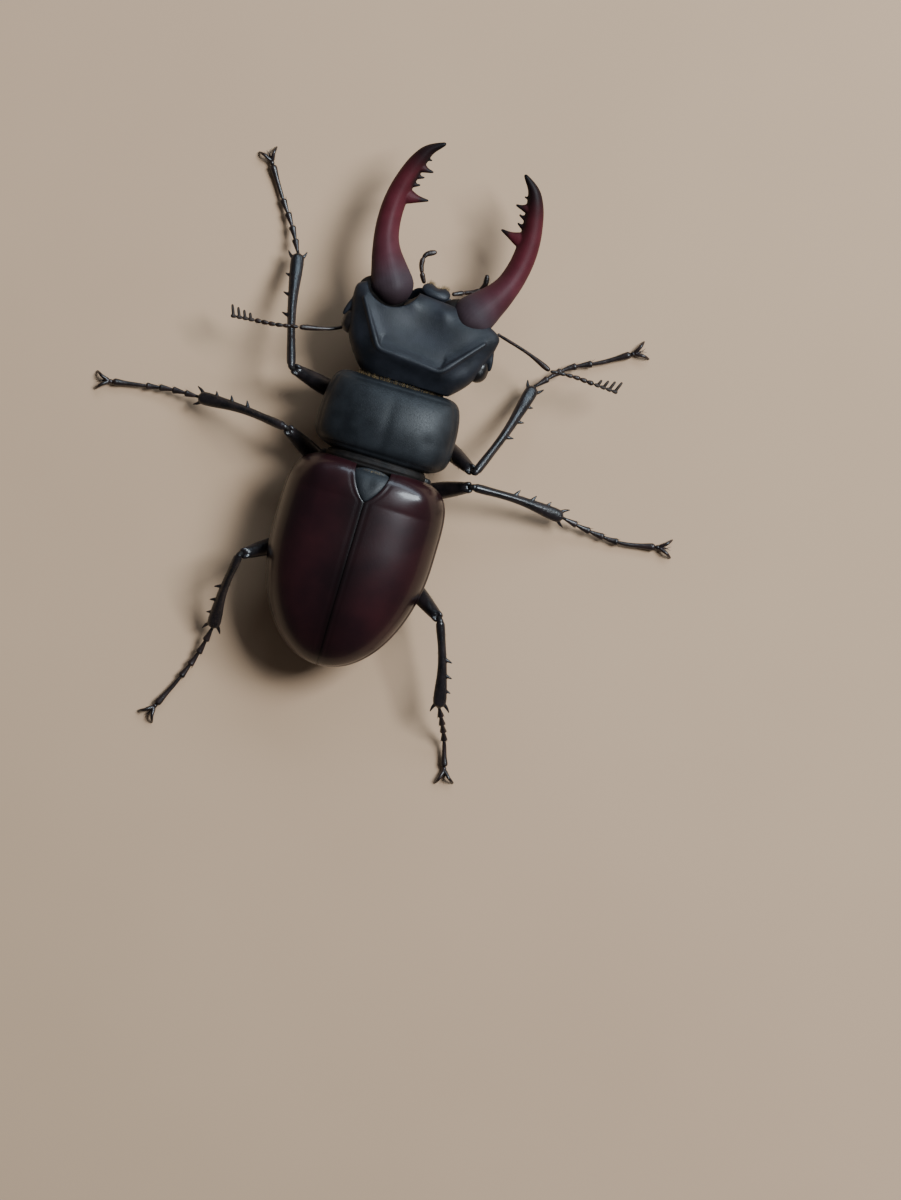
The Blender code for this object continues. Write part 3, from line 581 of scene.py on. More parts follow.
def lip_point(turn, around):
    ahead = LIP_MIDDLE.y + LIP_SIZE.y * cos(turn)
    width = LIP_SIZE.x * abs(sin(turn)) ** (2 / 3)
    notch = 0.35 * hump(width * cos(around), 0.6) * max(0, cos(turn))
    z = LIP_MIDDLE.z - 0.5 * (ahead - LIP_MIDDLE.y) + LIP_SIZE.z * sin(turn) * sin(around)
    return Vector((width * cos(around), -ahead + notch, z))


def chin_plate_point(turn, around):
    way, taper = dome_front(turn)
    out, up = dome_front(around)
    forward = CHIN_SIZE.y * way
    ahead = CHIN_MIDDLE.y + forward
    dip = 0.12 * hump(ahead - 12.2, 0.8) * hump(taper * out, 0.5)
    z = CHIN_MIDDLE.z + 0.32 * forward + (CHIN_SIZE.z + dip) * taper * up
    return Vector(((CHIN_SIZE.x - 0.35 * forward) * taper * out, -ahead, z))


def smooth_path(points, steps=16):
    """A function of 0 to 1 that runs at even speed along a smooth curve through the points."""
    knots = [Vector(p) for p in points]
    knots = [2 * knots[0] - knots[1], *knots, 2 * knots[-1] - knots[-2]]
    line = []
    for a, b, c, d in zip(knots, knots[1:], knots[2:], knots[3:]):
        square, cube = 2 * a - 5 * b + 4 * c - d, 3 * b - a - 3 * c + d
        for i in range(steps):
            t = i / steps
            line.append((2 * b + (c - a) * t + square * t**2 + cube * t**3) / 2)
    return along_line([*line, knots[-2]])


def ring_ways(path, share):
    """The ways ahead, level across and above at a place on a path."""
    ahead = (path(min(1, share + 0.02)) - path(max(0, share - 0.02))).normalized()
    across = UP.cross(ahead).normalized()
    return ahead, across, ahead.cross(across)


def tube(bm, points, stations, rings=24, sides=16, section=None, floor=False):
    """Adds a closed tapering tube along a smooth path through the points, and returns the path.

    A station is (share of the path, half width, half depth), or (share, half width) where it is
    round. The width lies level. section(out, up, share) may reshape the ring, and floor keeps the
    tube above the floor.
    """
    path = smooth_path(points)
    widths, depths = ([(row[0], row[i]) for row in stations] for i in (1, -1))

    def place(turn, around):
        share = (1 - cos(turn)) / 2
        _, across, above = ring_ways(path, share)
        out, up = cos(around), sin(around)
        if section:
            out, up = section(out, up, share)
        rounded = []
        for size in (between(widths, share), between(depths, share)):
            from_end = min(share, 1 - share) * path.length / size
            rounded.append(size * sqrt(max(0, 1 - max(0, 1 - from_end) ** 2)))
        spot = path(share) + across * rounded[0] * out + above * rounded[1] * up
        return Vector((spot.x, spot.y, max(0, spot.z))) if floor else spot

    ball(rings, sides, place, bm=bm)
    return path


def crown_z(x, ahead):
    """About how high the head's top is over a place."""
    across, reach = min(1, abs(x) / between(HEAD_OUTLINE, ahead)), between(HEAD_TOP, ahead) - HEAD_EDGE
    return HEAD_EDGE + reach * (1 - across**CROWN_POWER) ** (1 / CROWN_POWER)


def ridge_line(side, rise):
    """The brow ridge's points on one side, from the crown's middle to the front of the cheek."""
    spots = [Vector((0, RIDGE_CORNER.y)), RIDGE_CORNER * 0.5 + Vector((0, RIDGE_CORNER.y / 2))]
    spots += [RIDGE_CORNER + Vector((-0.5, 0)), RIDGE_CORNER + Vector((0.3, 0.45))]
    spots += [RIDGE_CORNER.lerp(RIDGE_END, share) for share in (0.35, 0.7, 1.0)]
    return [Vector((side * spot.x, -spot.y, crown_z(*spot) + rise)) for spot in spots]


head_skin = cuticle(
    "head_cuticle", (0.008, 0.009, 0.012), (0.018, 0.019, 0.025), 0.42,
    pit=0.12, pit_depth=0.012, grain=0.05, shine=0.3,
)
shape = ball(170, 220, head_point)
cut_flat(shape, (0, -NECK_GAP, 0), Matrix.Rotation(-HEAD_TURN, 3, "Z") @ Vector((0, -1, 0)))
notches = bmesh.new()
for side in SIDES.values():
    ball(16, 72, jaw_notch_point, side, bm=notches)
shape = without(shape, notches)
for side in SIDES.values():
    ridge = [(0, 0.3, 0.12), (0.3, 0.34, 0.22), (0.5, 0.42, 0.34), (0.6, 0.36, 0.3), (1, 0.24, 0.14)]
    tube(shape, ridge_line(side, 0.3), ridge, 60, 16)
    bar = [(side * 9.2, -9.2, 9.7), (side * 10.0, -7.4, 9.7), (side * 10.3, -6.2, 9.5)]
    tube(shape, bar, [(0, 0.7, 0.5), (0.6, 0.42, 0.34), (1, 0.26)])
piece("head", melted(shape, 0.13, 2), head_skin, ON_NECK, SOFT_EDGES)
piece("lip", ball(32, 48, lip_point), head_skin, ON_NECK)
piece("chin_plate", ball(40, 60, chin_plate_point), head_skin, ON_NECK)

# -------- the eyes
# A bulging black eye behind each cheek, wet-looking and made of very many tiny facets. It
# sits behind the horny bar that runs back from the cheek.

EYE_PLACE, EYE_SIZE = Vector((8.9, -5.9, 9.2)), Vector((1.45, 1.75, 1.45))


def eye_point(turn, around, side):
    flat = (1 - 0.06 * hump(cos(turn), 0.3)) * sin(turn)
    spot = EYE_PLACE + EYE_SIZE * Vector((flat * cos(around), cos(turn), flat * sin(around)))
    return Vector((side * spot.x, spot.y, spot.z))


eye_skin = cuticle(
    "eye_facets", (0.006, 0.005, 0.005), (0.014, 0.010, 0.009), 0.3,
    patch=0.8, pit=0.06, pit_depth=0.006, coat=0.4,
)
for name, side in SIDES.items():
    piece(f"eye_{name}", ball(40, 60, eye_point, side), eye_skin, ON_NECK)

# -------- the jaws
# Two great curved jaws of wine-red chitin, dark at the root with a purplish-grey sheen painted just past it,
# and near black at the forked point and the teeth, hinged in the head's notches. The left one stands wider
# open.

JAW_LINE = [
    (4.8, 9.6, 9.1), (5.5, 11.8, 9.15), (6.7, 13.9, 9.0), (7.9, 16.1, 8.75), (8.7, 18.4, 8.4),
    (9.1, 21.3, 8.2), (9.0, 24.2, 8.3), (8.5, 26.9, 8.6), (7.9, 28.9, 9.0), (7.0, 30.6, 9.4),
    (5.2, 32.1, 9.9),
]
JAW_STATIONS = [
    (0.0, 1.9, 1.6), (0.04, 2.45, 1.95), (0.1, 2.85, 2.2), (0.16, 2.65, 2.15), (0.24, 2.2, 1.95),
    (0.34, 1.75), (0.45, 1.58, 1.55), (0.57, 1.5, 1.4), (0.68, 1.38, 1.25), (0.78, 1.22, 1.1),
    (0.86, 0.98, 0.92), (0.92, 0.66, 0.68), (0.97, 0.4, 0.42), (1.0, 0.2, 0.22),
]
JAW_TEETH = [  # root, tip, half width, half depth: the fork, the great tooth, small ones between
    ((7.8, 28.2, 8.95), (5.5, 28.0, 8.9), 0.8, 0.5),
    ((8.6, 23.9, 8.35), (4.9, 24.3, 8.2), 1.15, 0.62),
    ((7.8, 25.7, 8.5), (6.6, 25.9, 8.5), 0.5, 0.36),
    ((7.6, 26.9, 8.65), (6.4, 27.0, 8.65), 0.48, 0.34),
    ((7.2, 29.6, 9.1), (6.2, 29.4, 9.1), 0.4, 0.3),
]
JAW_OPENING, JAW_STEPS = {"left": radians(1.8), "right": 0}, 80


def from_neck(side, point):
    """A place given as (x, ahead, z) on the beetle's left, on the side asked for."""
    return Vector((side * point[0], -point[1], point[2]))


def wine_red(tree, spot, colour):
    """Shades a jaw along its length, from a dark root with a painted purplish-grey sheen through red to a
    near-black point.
    """
    along = node(tree, "Attribute", (), {"attribute_name": "along_jaw"}, "Fac")
    # Painted sheen: the lighter purplish-grey stop near the root stands in for light caught on the jaw's
    # root.
    root_and_painted_sheen = (0.0, (0.030, 0.018, 0.020)), (0.14, (0.062, 0.040, 0.047))
    red = (0.27, (0.086, 0.023, 0.031)), (0.5, (0.110, 0.018, 0.026)), (0.74, (0.086, 0.014, 0.019))
    point = (0.86, (0.024, 0.009, 0.010)), (0.97, (0.010, 0.007, 0.008))
    return multiplied(tree, 0.55, ramp(tree, along, *root_and_painted_sheen, *red, *point), colour)


jaw_skin = cuticle(
    "jaw_chitin", (0.5, 0.45, 0.45), (1.0, 1.0, 1.0), 0.5,
    patch=3, pit=0.16, pit_depth=0.010, shine=0.15, tint=wine_red,
)


def jaw_piece(name, side):
    """A jaw: a long curved blade, thinner towards its inner edge, and its teeth, melted into one."""
    hinge = from_neck(side, (*JAW_HINGE, 0))
    opening = Matrix.Rotation(JAW_OPENING[name] * side, 3, "Z")

    def placed(point):
        return hinge + opening @ (from_neck(side, point) - hinge)

    def blade(out, up, share):
        return out, up * (1 - 0.35 * max(0, -out * side) ** 2)

    shape = bmesh.new()
    jaw_path = tube(shape, [placed(p) for p in JAW_LINE], JAW_STATIONS, 90, 32, blade)
    for root, tip, width, depth in JAW_TEETH:
        middle = placed(root).lerp(placed(tip), 0.55) + Vector((0, 0.12, 0))
        tooth = [(0, width, depth), (0.3, width * 0.85, depth), (0.6, width * 0.45, depth * 0.65)]
        tube(shape, [placed(root), middle, placed(tip)], [*tooth, (1, 0.13)], 24, 16)
    made = piece(f"jaw_{name}", melted(shape, 0.11, 3), jaw_skin, ON_NECK, SOFT_EDGES)
    shares = [step / JAW_STEPS for step in range(JAW_STEPS + 1)]
    steps = [(share, ON_NECK @ jaw_path(share) * MM) for share in shares]
    tips = [ON_NECK @ placed(tip) * MM for _, tip, _, _ in JAW_TEETH]

    def along_jaw(spot):
        share = min(steps, key=lambda step: (step[1] - spot).length_squared)[0]
        from_tip = min((tip - spot).length for tip in tips) / MM
        return max(share, 0.97 - 0.2 * max(0, from_tip - 0.5))

    layer = made.data.attributes.new("along_jaw", "FLOAT", "POINT")
    layer.data.foreach_set("value", [along_jaw(v.co) for v in made.data.vertices])


for name, side in SIDES.items():
    jaw_piece(name, side)

# -------- the feelers
# The mouth's two long three-jointed feelers, and the great elbowed pair: a long shaft, a
# string of six beads, and a club whose four joints each carry a flat dull leaf.

MOUTH_FEELERS = {
    "left": [(1.9, 14.0, 6.9), (2.6, 15.0, 7.2), (3.2, 16.3, 7.3), (3.1, 17.6, 7.2), (1.9, 18.5, 7.0)],
    "right": [(-2, 14.0, 6.7), (-3.4, 14.8, 6.1), (-4.9, 15.6, 5.9), (-5.6, 16.8, 6), (-5.4, 18.2, 6.2)],
}
FEELERS = {
    "left": (
        [(8.4, 7.6, 6.9), (9.5, 5.2, 7.0), (11.2, 3.9, 7.8), (14.8, 2.6, 9.1)],
        [(15.3, 2.5, 9.15), (18.0, 1.75, 8.7), (20.7, 1.3, 7.9)],
    ),
    "right": (
        [(-9.5, 11.3, 7.4), (-14.1, 10.4, 8.3), (-17.5, 9.3, 8.8)],
        [(-17.9, 9.25, 8.75), (-20.7, 9.7, 8.3), (-23.5, 9.8, 7.8)],
    ),
}
FEELER_BEADS, CLUB_LEAVES = 6, 4
feeler_skin = cuticle(
    "feeler_cuticle", (0.010, 0.006, 0.005), (0.034, 0.016, 0.012), 0.34, patch=1, pit=0.15
)
club_skin = cuticle(
    "club_velvet", (0.020, 0.012, 0.009), (0.048, 0.030, 0.022), 0.62,
    patch=0.6, pit=0.07, pit_depth=0.012,
)
for name in SIDES:
    path = [from_neck(1, p) for p in MOUTH_FEELERS[name]]
    stations = [(0, 0.26)]
    for joint in (0.25, 0.6):
        stations += [(joint - 0.03, 0.35), (joint, 0.3), (joint + 0.025, 0.2), (joint + 0.05, 0.27)]
    shape = bmesh.new()
    tube(shape, path, [*stations, (0.86, 0.38, 0.32), (1, 0.26, 0.22)], 70, 16)
    piece(f"mouth_feeler_{name}", shape, feeler_skin, ON_NECK, SOFT_EDGES)

    shaft, bent = ([from_neck(1, p) for p in points] for points in FEELERS[name])
    shape = bmesh.new()
    stations = [(0, 0.3), (0.05, 0.2), (0.12, 0.22), (0.6, 0.24), (0.9, 0.38), (1, 0.28)]
    tube(shape, [*shaft[:-1], shaft[-1].lerp(bent[0], 0.6)], stations, 60, 16)
    piece(f"feeler_shaft_{name}", shape, feeler_skin, ON_NECK, SOFT_EDGES)

    shape = bmesh.new()
    ahead = (bent[2] - bent[1]).normalized()
    start = bent[2] + ahead * GAP
    beads = smooth_path([*bent, start])
    for bead in range(FEELER_BEADS):
        low, high = beads(bead / FEELER_BEADS), beads((bead + 1) / FEELER_BEADS)
        size = 0.27 + 0.015 * bead
        string = [(0, 0.16), (0.25, size * 0.8), (0.65, size), (1, 0.16)]
        tube(shape, [low.lerp(high, -0.08), low.lerp(high, 0.5), high.lerp(low, -0.08)], string, 16, 14)
    piece(f"feeler_beads_{name}", shape, feeler_skin, ON_NECK, SOFT_EDGES)

    forward = Vector((0, -1, 0))
    leaf_way = (forward - ahead * forward.dot(ahead)).normalized()
    shape = bmesh.new()
    for leaf in range(CLUB_LEAVES):
        low = start + ahead * (0.06 + 0.84 * leaf)
        stem = [(0, 0.18), (0.5, 0.27), (1, 0.3)]
        tube(shape, [low, low + ahead * 0.4, low + ahead * 0.86], stem, 12, 14)
        root = start + ahead * (0.55 + 0.82 * leaf) - leaf_way * 0.1
        end = root + (leaf_way + ahead * 0.35).normalized() * (1.05 + 0.22 * leaf)
        blade = [(0, 0.2), (0.6, 0.2, 0.44), (1, 0.15, 0.3)]
        tube(shape, [root, root.lerp(end, 0.5), end], blade, 16, 14)
    club = melted(shape, 0.055, 2)
    piece(f"feeler_club_{name}", club, club_skin, ON_NECK, SOFT_EDGES)

# -------- the legs
# Six legs of glossy black tubes, joined by soft dark skin. The shins carry spines outside and
# two spurs at the end, and each five-jointed foot ends in a pair of hooked claws with a small
# bristled pad between.

LEGS = {  # hip, bend, knee, ankle and three places of the foot
    "fore_left": [
        (2.9, -6.2, 3), (8.9, -7.6, 4.1), (13.9, -8.7, 8.4), (18, -23.7, 2.5),
        (19.9, -27.1, 1.25), (22.3, -30.5, 0.68), (24.7, -34.2, 0.6),
    ],
    "fore_right": [
        (-2.9, -5.6, 2.8), (-7.6, -4.7, 3.6), (-12.3, -2.5, 8.6), (-17.1, -15.6, 2.5),
        (-20.6, -19.2, 1.25), (-24.9, -21.4, 0.68), (-28.3, -23.5, 0.6),
    ],
    "middle_left": [
        (3.5, 4, 2.6), (8.4, 1.3, 3.7), (12.5, -0.8, 7.6), (25.3, -1.7, 2.2),
        (29.4, -1.6, 1.1), (33.3, -1, 0.66), (37, -0.4, 0.6),
    ],
    "middle_right": [
        (-3.5, 4, 2.7), (-8.6, 1.4, 3.5), (-12.7, -0.3, 6.6), (-25.7, 0, 2.2),
        (-29.8, 0.7, 1.1), (-34.2, 1, 0.66), (-38.7, 0.2, 0.6),
    ],
    "hind_left": [
        (3.4, 10.6, 2.9), (9.2, 13.9, 4.4), (13.5, 16.6, 8.4), (14.8, 27.2, 2.3),
        (15.7, 31, 1.1), (17.3, 35.2, 0.66), (19.2, 39.2, 0.6),
    ],
    "hind_right": [
        (-3.4, 10.6, 2.9), (-9.2, 14.5, 4.4), (-13.6, 17.4, 8.2), (-17.1, 28.8, 5.2),
        (-18, 30.6, 3.6), (-19, 32.9, 1.4), (-20, 36.3, 0.6),
    ],
}
LEG_ROOTS = {  # middle, half the size
    "fore": (Vector((3.1, -5.3, 5.1)), Vector((2.2, 1.6, 1.3))),
    "middle": (Vector((3.9, 4.4, 4.7)), Vector((2.2, 1.6, 1.3))),
    "hind": (Vector((4.3, 8.8, 4.8)), Vector((3.7, 1.45, 1.15))),
}
THIGH = [
    (0, 0.5), (0.1, 0.85, 0.75), (0.35, 1.15, 0.95),
    (0.62, 1.15, 0.95), (0.85, 0.92, 0.8), (1, 0.72, 0.66),
]
SHIN = [
    (0, 0.42), (0.05, 0.58, 0.52), (0.3, 0.52, 0.48),
    (0.6, 0.63, 0.5), (0.88, 0.9, 0.58), (1, 0.85, 0.55),
]
SHIN_BOW, SHIN_SPINES = 0.35, (0.43, 0.61, 0.78)
SHORT_JOINT = 0.155  # the first four of a foot's joints each take this share of it
CLAW_LENGTH, CLAW_THICK, CLAW_POINT = 2.0, 0.36, 0.2
FOLD_REACH = 0.65  # of the soft skin at a knee or an ankle, into the joints on both sides

leg_skin = cuticle(
    "leg_cuticle", (0.007, 0.006, 0.007), (0.020, 0.014, 0.015), 0.28,
    patch=1.5, pit=0.22, pit_depth=0.022, coat=0.15,
)
foot_skin = cuticle(
    "foot_cuticle", (0.009, 0.006, 0.006), (0.030, 0.017, 0.016), 0.32,
    patch=0.8, pit=0.15, pit_depth=0.012, coat=0.1,
)


def root_point(turn, around, centre, size):
    thin = sin(turn)
    ball_spot = Vector((cos(turn), thin * cos(around), thin * sin(around)))
    swell = 1 + 0.05 * hump(turn - 1.2, 0.5)
    return centre + ball_spot * size * swell


def ridged(out, up, share):
    """A shin's section: an oval with four low ridges running along it."""
    ridge = 1 + 0.07 * cos(4 * atan2(up, out)) * sin(pi * min(1, share * 1.2)) ** 0.5
    return out * ridge, up * ridge


def thigh_piece(name, line):
    """A flattened thigh, with the small ring at its root and a lobe on each side of the knee."""
    hip, _, knee = line
    shape = bmesh.new()
    path = tube(shape, line, THIGH, 60, 28)
    ring_way = (path(0.1) - path(0)).normalized()
    ring = [hip - ring_way * 0.25, hip + ring_way * 0.4, hip + ring_way]
    tube(shape, ring, [(0, 0.6), (1, 0.85, 0.8)], 20, 20)
    way = (path(1) - path(0.95)).normalized()
    across = UP.cross(way).normalized()
    for side in SIDES.values():
        aside = across * side
        lobe = [path(0.9) + aside * 0.42, path(0.97) + aside * 0.5, knee + way * 0.3 + aside * 0.42]
        tube(shape, lobe, [(0, 0.2, 0.5), (0.5, 0.3, 0.6), (1, 0.26, 0.5)], 20, 14)
    piece(f"thigh_{name}", melted(shape, 0.1, 2), leg_skin, crease=SOFT_EDGES)
    return path


def spike(bm, root, tip, bow, stations):
    """A short bowed spike of a shin."""
    tube(bm, [root, root.lerp(tip, 0.5) + bow, tip], [*stations, (1, 0.07)], 16, 12)


def shin_piece(name, line, outer, ankle_way):
    """A shin with its spines and spurs, and the ball by which it turns in the thigh's end."""
    shape = bmesh.new()
    path = tube(shape, line, SHIN, 70, 24, ridged)
    along = (line[-1] - line[0]).normalized()
    start = line[0] - along * 0.35
    tube(shape, [start, line[0], line[0] + along * 0.6], [(0, 0.3), (0.5, 0.46), (1, 0.4)], 14, 16)
    for share in SHIN_SPINES:
        root, tip = path(share), path(share) + outer * 1.35 + along * 0.7
        spike(shape, root, tip, outer * 0.06, [(0, 0.4, 0.36), (0.6, 0.22, 0.2)])
    for way, reach in ((outer, 1.5), (-outer, 1.25)):
        root = path(0.94) + way * 0.38
        tip = root + way * 0.9 + along * reach
        spike(shape, root, tip, way * 0.1, [(0, 0.32, 0.3), (0.6, 0.2, 0.18)])
    socket = line[-1] + ankle_way * 0.1
    tube(shape, [line[-1] - along * 0.4, line[-1], socket], [(0, 0.4, 0.36), (1, 0.5, 0.42)], 12, 16)
    piece(f"shin_{name}", melted(shape, 0.075, 2), leg_skin, crease=SOFT_EDGES)
    return path


def foot_piece(name, line):
    """Four short bell-shaped joints and a long one, each set in the mouth of the one before."""
    shape = bmesh.new()
    path = smooth_path(line)
    for joint in range(4):
        low, high = joint * SHORT_JOINT - 0.02, (joint + 1) * SHORT_JOINT
        bell = [(0, 0.2, 0.18), (0.25, 0.27, 0.25), (0.7, 0.42, 0.37), (0.9, 0.52, 0.45), (1, 0.42, 0.36)]
        spots = [path(max(0, low)), path((low + high) / 2), path(high)]
        tube(shape, spots, bell, 26, 18, floor=True)
    spots = [path(4 * SHORT_JOINT - 0.02), path(0.72), path(0.86), path(1)]
    long_joint = [(0, 0.2), (0.2, 0.28), (0.6, 0.34), (0.92, 0.5), (1, 0.44, 0.46)]
    tube(shape, spots, long_joint, 40, 18, floor=True)
    piece(f"foot_{name}", shape, foot_skin, crease=SOFT_EDGES)
    return path


def claws_piece(name, toe, ahead):
    """The pair of hooked claws, with the bristled pad that lies between them."""
    ahead = Vector((ahead.x, ahead.y, 0)).normalized()
    across = UP.cross(ahead)
    knuckle = toe + ahead * (GAP + CLAW_THICK)
    hooks = []
    for side in SIDES.values():
        bend = knuckle + (ahead * 0.45 + across * side * 0.33) * CLAW_LENGTH + UP * 0.3
        point = knuckle + (ahead * 0.78 + across * side * 0.62) * CLAW_LENGTH
        point.z = CLAW_POINT / 2
        hooks.append([point, bend])
    half = [(0, 0.09), (0.1, 0.17, 0.18), (0.25, 0.23, 0.26), (0.4, 0.28, 0.32)]
    other_half = [(1 - share, *size) for share, *size in reversed(half)]
    stations = [*half, (0.5, CLAW_THICK), *other_half]
    shape = bmesh.new()
    tube(shape, [*hooks[0], knuckle, *reversed(hooks[1])], stations, 60, 14, floor=True)
    neck = [toe - ahead * 0.1, knuckle - ahead * 0.2, knuckle]
    tube(shape, neck, [(0, 0.34, 0.3), (1, 0.3)], 14, 14, floor=True)
    pad = [knuckle, knuckle + ahead * 0.4 - UP * 0.1, knuckle + ahead * 0.85 - UP * 0.12]
    tube(shape, pad, [(0, 0.16, 0.14), (0.7, 0.12, 0.1), (1, 0.13, 0.12)], 14, 10, floor=True)
    for side in SIDES.values():
        end = pad[2] + (ahead + across * side * 0.45) * 0.6
        tube(shape, [pad[2], pad[2].lerp(end, 0.5), end], [(0, 0.05), (1, 0.02)], 8, 6, floor=True)
    piece(f"claws_{name}", shape, foot_skin, crease=SOFT_EDGES)


leg_paths = []
folds = bmesh.new()
for name, points in LEGS.items():
    kind, side_name = name.split("_")
    root, size = LEG_ROOTS[kind]
    root = Vector((SIDES[side_name] * root.x, root.y, root.z))
    piece(f"root_{name}", ball(40, 48, root_point, root, size), leg_skin)
    hip, bend, knee, ankle, *foot = (Vector(p) for p in points)
    thigh_way, shin_way = (knee - bend).normalized(), (ankle - knee).normalized()
    knee_end = knee + thigh_way * (GAP + 0.45 * (1 - thigh_way.dot(shin_way)))
    outer = shin_way.cross(UP).normalized()
    outer *= copysign(1, outer.dot(knee - hip))
    line = [knee_end, knee_end.lerp(ankle, 0.5) + (outer + UP) * SHIN_BOW, ankle]
    ankle_way = (foot[0] - ankle).normalized()
    paths = [thigh_piece(name, (hip, bend, knee)), shin_piece(name, line, outer, ankle_way)]
    leg_paths.append([*paths, foot_piece(name, [ankle + ankle_way * GAP, *foot])])
    claws_piece(name, foot[-1], foot[-1] - foot[-2])
    joins = (
        (root, hip.lerp(root, 0.5), hip, 0.5),
        (knee_end - thigh_way * FOLD_REACH, knee_end, knee_end + shin_way * FOLD_REACH, 0.4),
        (ankle - shin_way * FOLD_REACH, ankle, ankle + ankle_way * FOLD_REACH, 0.24),
    )
    for *fold, thick in joins:
        tube(folds, fold, [(0, thick), (1, thick * 0.8)], 16, 14)
piece("leg_folds", folds, hinge_skin_and_painted_shade, stands_in=False)

# -------- the hairs
# Short stiff golden hairs: fringes along the shield's front and hind margins, a brush at
# the mouth, thin fur on the underside, and bristles on the thighs, shins and feet. Each is
# a thin spike, and its patch on the OFBake map lies where it grows on the unwrapped skin.

HAIR_RADIUS, HAIRS_AT_ONCE, HAIR_PATCH = 0.018, 120, 0.0015


def hair(bm, bake, root, way, length, on_map):
    """Adds one hair, which leans the given way from its root and tapers to a point."""
    turned = way.to_track_quat("Z", "Y").to_matrix().to_4x4()
    place = Matrix.Translation(root + way.normalized() * length / 2) @ turned
    sizes = {"radius1": HAIR_RADIUS, "radius2": HAIR_RADIUS * 0.15, "depth": length}
    made = bmesh.ops.create_cone(bm, segments=3, cap_ends=True, matrix=place, **sizes)
    corners = {v: index for index, v in enumerate(made["verts"])}
    for face in {face for v in made["verts"] for face in v.link_faces}:
        for loop in face.loops:
            angle = corners[loop.vert] * tau / 6
            loop[bake].uv = on_map[0] + HAIR_PATCH * cos(angle), on_map[1] + HAIR_PATCH * sin(angle)


def coat(name, roots, finish, place=ON_BODY):
    """Makes one coat piece of hairs given as (root, way, length, place on the map)."""
    grown = bmesh.new()
    grown.loops.layers.uv.new("OFBake")
    for first in range(0, len(roots), HAIRS_AT_ONCE):
        batch = bmesh.new()
        bake = batch.loops.layers.uv.new("OFBake")
        for root, way, length, on_map in roots[first : first + HAIRS_AT_ONCE]:
            hair(batch, bake, root, way, length, on_map)
        mesh = bpy.data.meshes.new("batch")
        batch.to_mesh(mesh)
        batch.free()
        grown.from_mesh(mesh)
        bpy.data.meshes.remove(mesh)
    piece(name, grown, finish, place, stands_in=False)


def round_the_body(spot):
    """A place of the trunk or head on its skin unwrapped as a cylinder."""
    return 0.5 + atan2(spot.x, spot.z - 9) / tau, (spot.y + 45) / 90


def round_the_leg(number, share, around):
    """A place of a leg on the map, which gives each leg its own strip."""
    return share, (number + 0.1 + 0.8 * around / tau) / len(LEGS)


def scattered(spread):
    return Vector([uniform(-spread, spread) for _ in range(3)])


def grow(roots, count, point, rows, turns, way, spread, lengths):
    """Grows hairs on a skin, between the rows and turns given as shares of half a turn."""
    for _ in range(count):
        root = point(pi * uniform(*rows), pi * uniform(*turns))
        leaning = Vector((root.x * way[0], *way[1:])) + scattered(spread)
        roots.append((root, leaning, uniform(*lengths), round_the_body(root)))


smooth = {"patch": 0.5, "pit": 0.5, "pit_depth": 0.001}
golden = cuticle("golden_hair", (0.16, 0.10, 0.045), (0.36, 0.26, 0.13), 0.45, **smooth)
brown = cuticle("brown_bristle", (0.045, 0.024, 0.012), (0.13, 0.075, 0.035), 0.45, **smooth)

fringe = []
for row, lean, count in ((0.80, 0.0, 420), (0.85, -0.25, 420), (0.19, 0.05, 300), (0.15, -0.15, 300)):
    rows, way = (row - 0.012, row + 0.012), (0.03, copysign(1, row - 0.5), lean)
    grow(fringe, count, shield_point, rows, (0.05, 0.95), way, 0.28, (0.25, 0.7))
grow(fringe, 70, scutellum_point, (18 / 180, 38 / 180), (0.12, 0.88), (0.2, 1, 0.25), 0.2, (0.3, 0.5))
coat("shield_fringe", fringe, golden)

fur = []
grow(fur, 900, breast_point, (0.12, 0.9), (1.03, 1.97), (0.05, 0.9, -0.25), 0.25, (0.45, 0.8))
for _ in range(1900):
    root = trunk_point(pi * uniform(0.1, 0.88), pi * uniform(1.03, 1.97))
    length = uniform(0.5, 0.85) if root.y < BELLY_FRONT else uniform(0.25, 0.45)
    way = Vector((root.x * 0.04, 0.95, -0.2)) + scattered(0.22)
    fur.append((root, way, length, round_the_body(root)))
coat("underside_fur", fur, golden)

brush = []
grow(brush, 110, lip_point, (12 / 180, 50 / 180), (-1 / 6, 7 / 6), (0.15, -1, -0.3), 0.3, (0.35, 0.6))
for side in SIDES.values():
    for _ in range(110):
        root = Vector((side * 0.75, -13.2, 7.5)) + scattered(0.3)
        way = Vector((side * 0.2, -1, -0.35)) + scattered(0.4)
        brush.append((root, way, uniform(0.9, 1.7), round_the_body(root)))
grow(brush, 140, head_point, (0.86, 0.92), (0.1, 0.9), (0.05, 1, 0.1), 0.2, (0.3, 0.5))
coat("mouth_brush", brush, golden, ON_NECK)

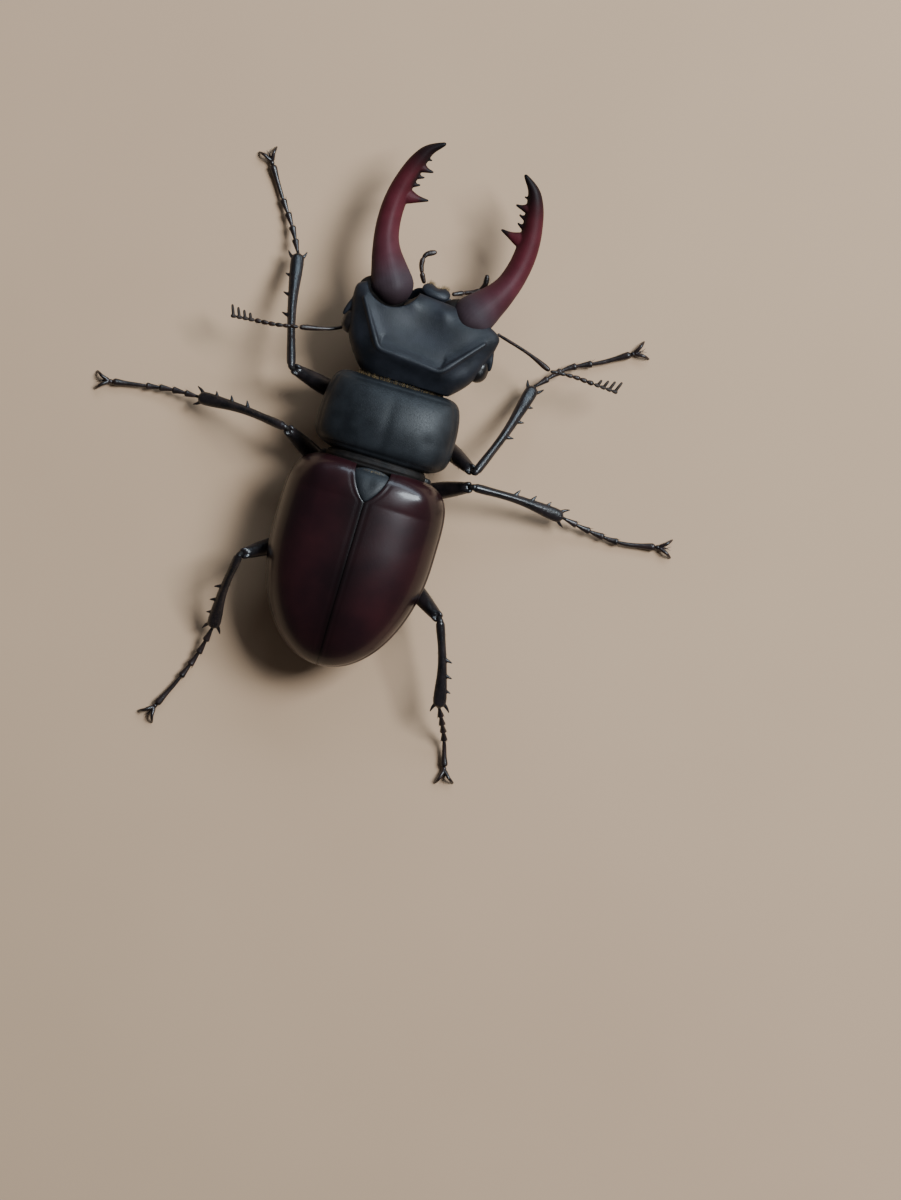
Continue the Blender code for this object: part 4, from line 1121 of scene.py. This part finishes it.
bristles = []
for number, (thigh_path, shin_path, foot_path) in enumerate(leg_paths):
    for path, sizes, count, shares, turns, stand, lift, lengths, on_map in (
        (thigh_path, THIGH, 90, (0.12, 0.8), (1.05, 1.95), 0.97, 0.45, (0.3, 0.6), 0),
        (shin_path, SHIN, 110, (0.08, 0.95), (0, 2), 0.95, 0.4, (0.25, 0.5), 0.35),
    ):
        for _ in range(count):
            share, around = uniform(*shares), uniform(*turns) * pi
            ahead, across, above = ring_ways(path, share)
            width, depth = (between([(row[0], row[i]) for row in sizes], share) for i in (1, -1))
            outward = across * cos(around) * width + above * sin(around) * depth
            way = ahead * 0.9 + outward.normalized() * lift + scattered(0.15)
            spot = round_the_leg(number, on_map + share * 0.3, around)
            bristles.append((path(share) + outward * stand, way, uniform(*lengths), spot))
    for joint in range(4):
        for _ in range(16):
            share = (joint + uniform(0.7, 0.95)) * SHORT_JOINT
            around = uniform(1.0, 2.0) * pi
            ahead, across, above = ring_ways(foot_path, share)
            root = foot_path(share) + across * cos(around) * 0.36 + above * sin(around) * 0.3
            way = ahead + across * cos(around) * 0.5 + above * sin(around) * 0.4
            length = min(uniform(0.35, 0.6), max(0.1, root.z / max(0.3, -way.normalized().z) * 0.9))
            root.z = max(root.z, 0.06)
            bristles.append((root, way, length, round_the_leg(number, 0.7 + share * 0.3, around)))
coat("leg_bristles", bristles, brown)

# -------- the floor, light and camera
# A plain pale floor, two soft lights ahead of the beetle and to its right in a dim
# room, and a long lens that looks straight down, with the head towards the top.

FLOOR_SIZE = 3.0
floor_skin, tree, surface, spot = new_finish("pale_floor")
mottle = node(tree, "TexNoise", {"Scale": 22.0, "Detail": 3.0}, Vector=spot)
pale = ramp(tree, mottle, (0.0, (0.56, 0.360, 0.225)), (1.0, (0.64, 0.420, 0.265)))
tree.links.new(pale, surface["Base Color"])
surface["Roughness"].default_value = 0.75
shape = bmesh.new()
bmesh.ops.create_grid(shape, x_segments=1, y_segments=1, size=FLOOR_SIZE / 2)
floor = set_down(shape, "floor")
floor.data.materials.append(floor_skin)
floor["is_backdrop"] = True

IMAGE_UP = Vector((0.284, -0.959, 0)).normalized()
IMAGE_RIGHT = Vector((IMAGE_UP.y, -IMAGE_UP.x, 0))
VIEW_MIDDLE = Vector((-13.64, 15.49, 0)) * MM
VIEW_HEIGHT, CAMERA_HEIGHT = 0.160, 0.80


def soft_light(name, way, distance, width, height, power, colour):
    """A soft panel of light that faces the beetle. way is (right, forward, up) as the camera sees it."""
    way = IMAGE_RIGHT * way[0] + IMAGE_UP * way[1] + UP * way[2]
    lamp = bpy.data.lights.new(name, "AREA")
    lamp.shape = "RECTANGLE"
    lamp.size, lamp.size_y, lamp.energy, lamp.color = width, height, power, colour
    light = in_scene(name, lamp)
    light.location = way.normalized() * distance
    light.rotation_euler = way.to_track_quat("Z", "Y").to_euler()


soft_light("window", (0.93, 0.38, 1.28), 0.7, 0.26, 0.26, 6.6, (0.83, 0.93, 1.0))
soft_light("doorway", (0.6, 1, 0.8), 0.8, 0.85, 0.2, 3.4, (0.66, 0.84, 1.0))
world = bpy.data.worlds.new("room")
world.use_nodes = True
air = world.node_tree.nodes["Background"].inputs
air["Color"].default_value = (0.92, 0.95, 1.0, 1)
air["Strength"].default_value = 0.07
bpy.context.scene.world = world

lens = bpy.data.cameras.new("camera")
lens.sensor_width, lens.lens = 36, 36 * CAMERA_HEIGHT / VIEW_HEIGHT
lens.clip_start, lens.clip_end = 0.01, 20
camera = in_scene("camera", lens)
turned = Matrix((IMAGE_RIGHT, IMAGE_UP, UP)).transposed().to_4x4()
camera.matrix_world = Matrix.Translation(VIEW_MIDDLE + UP * CAMERA_HEIGHT) @ turned
bpy.context.scene.camera = camera

# -------- the sizes

sizes = {"cad": [list(corner) for corner in cad_box], "visual": [list(corner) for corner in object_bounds()]}
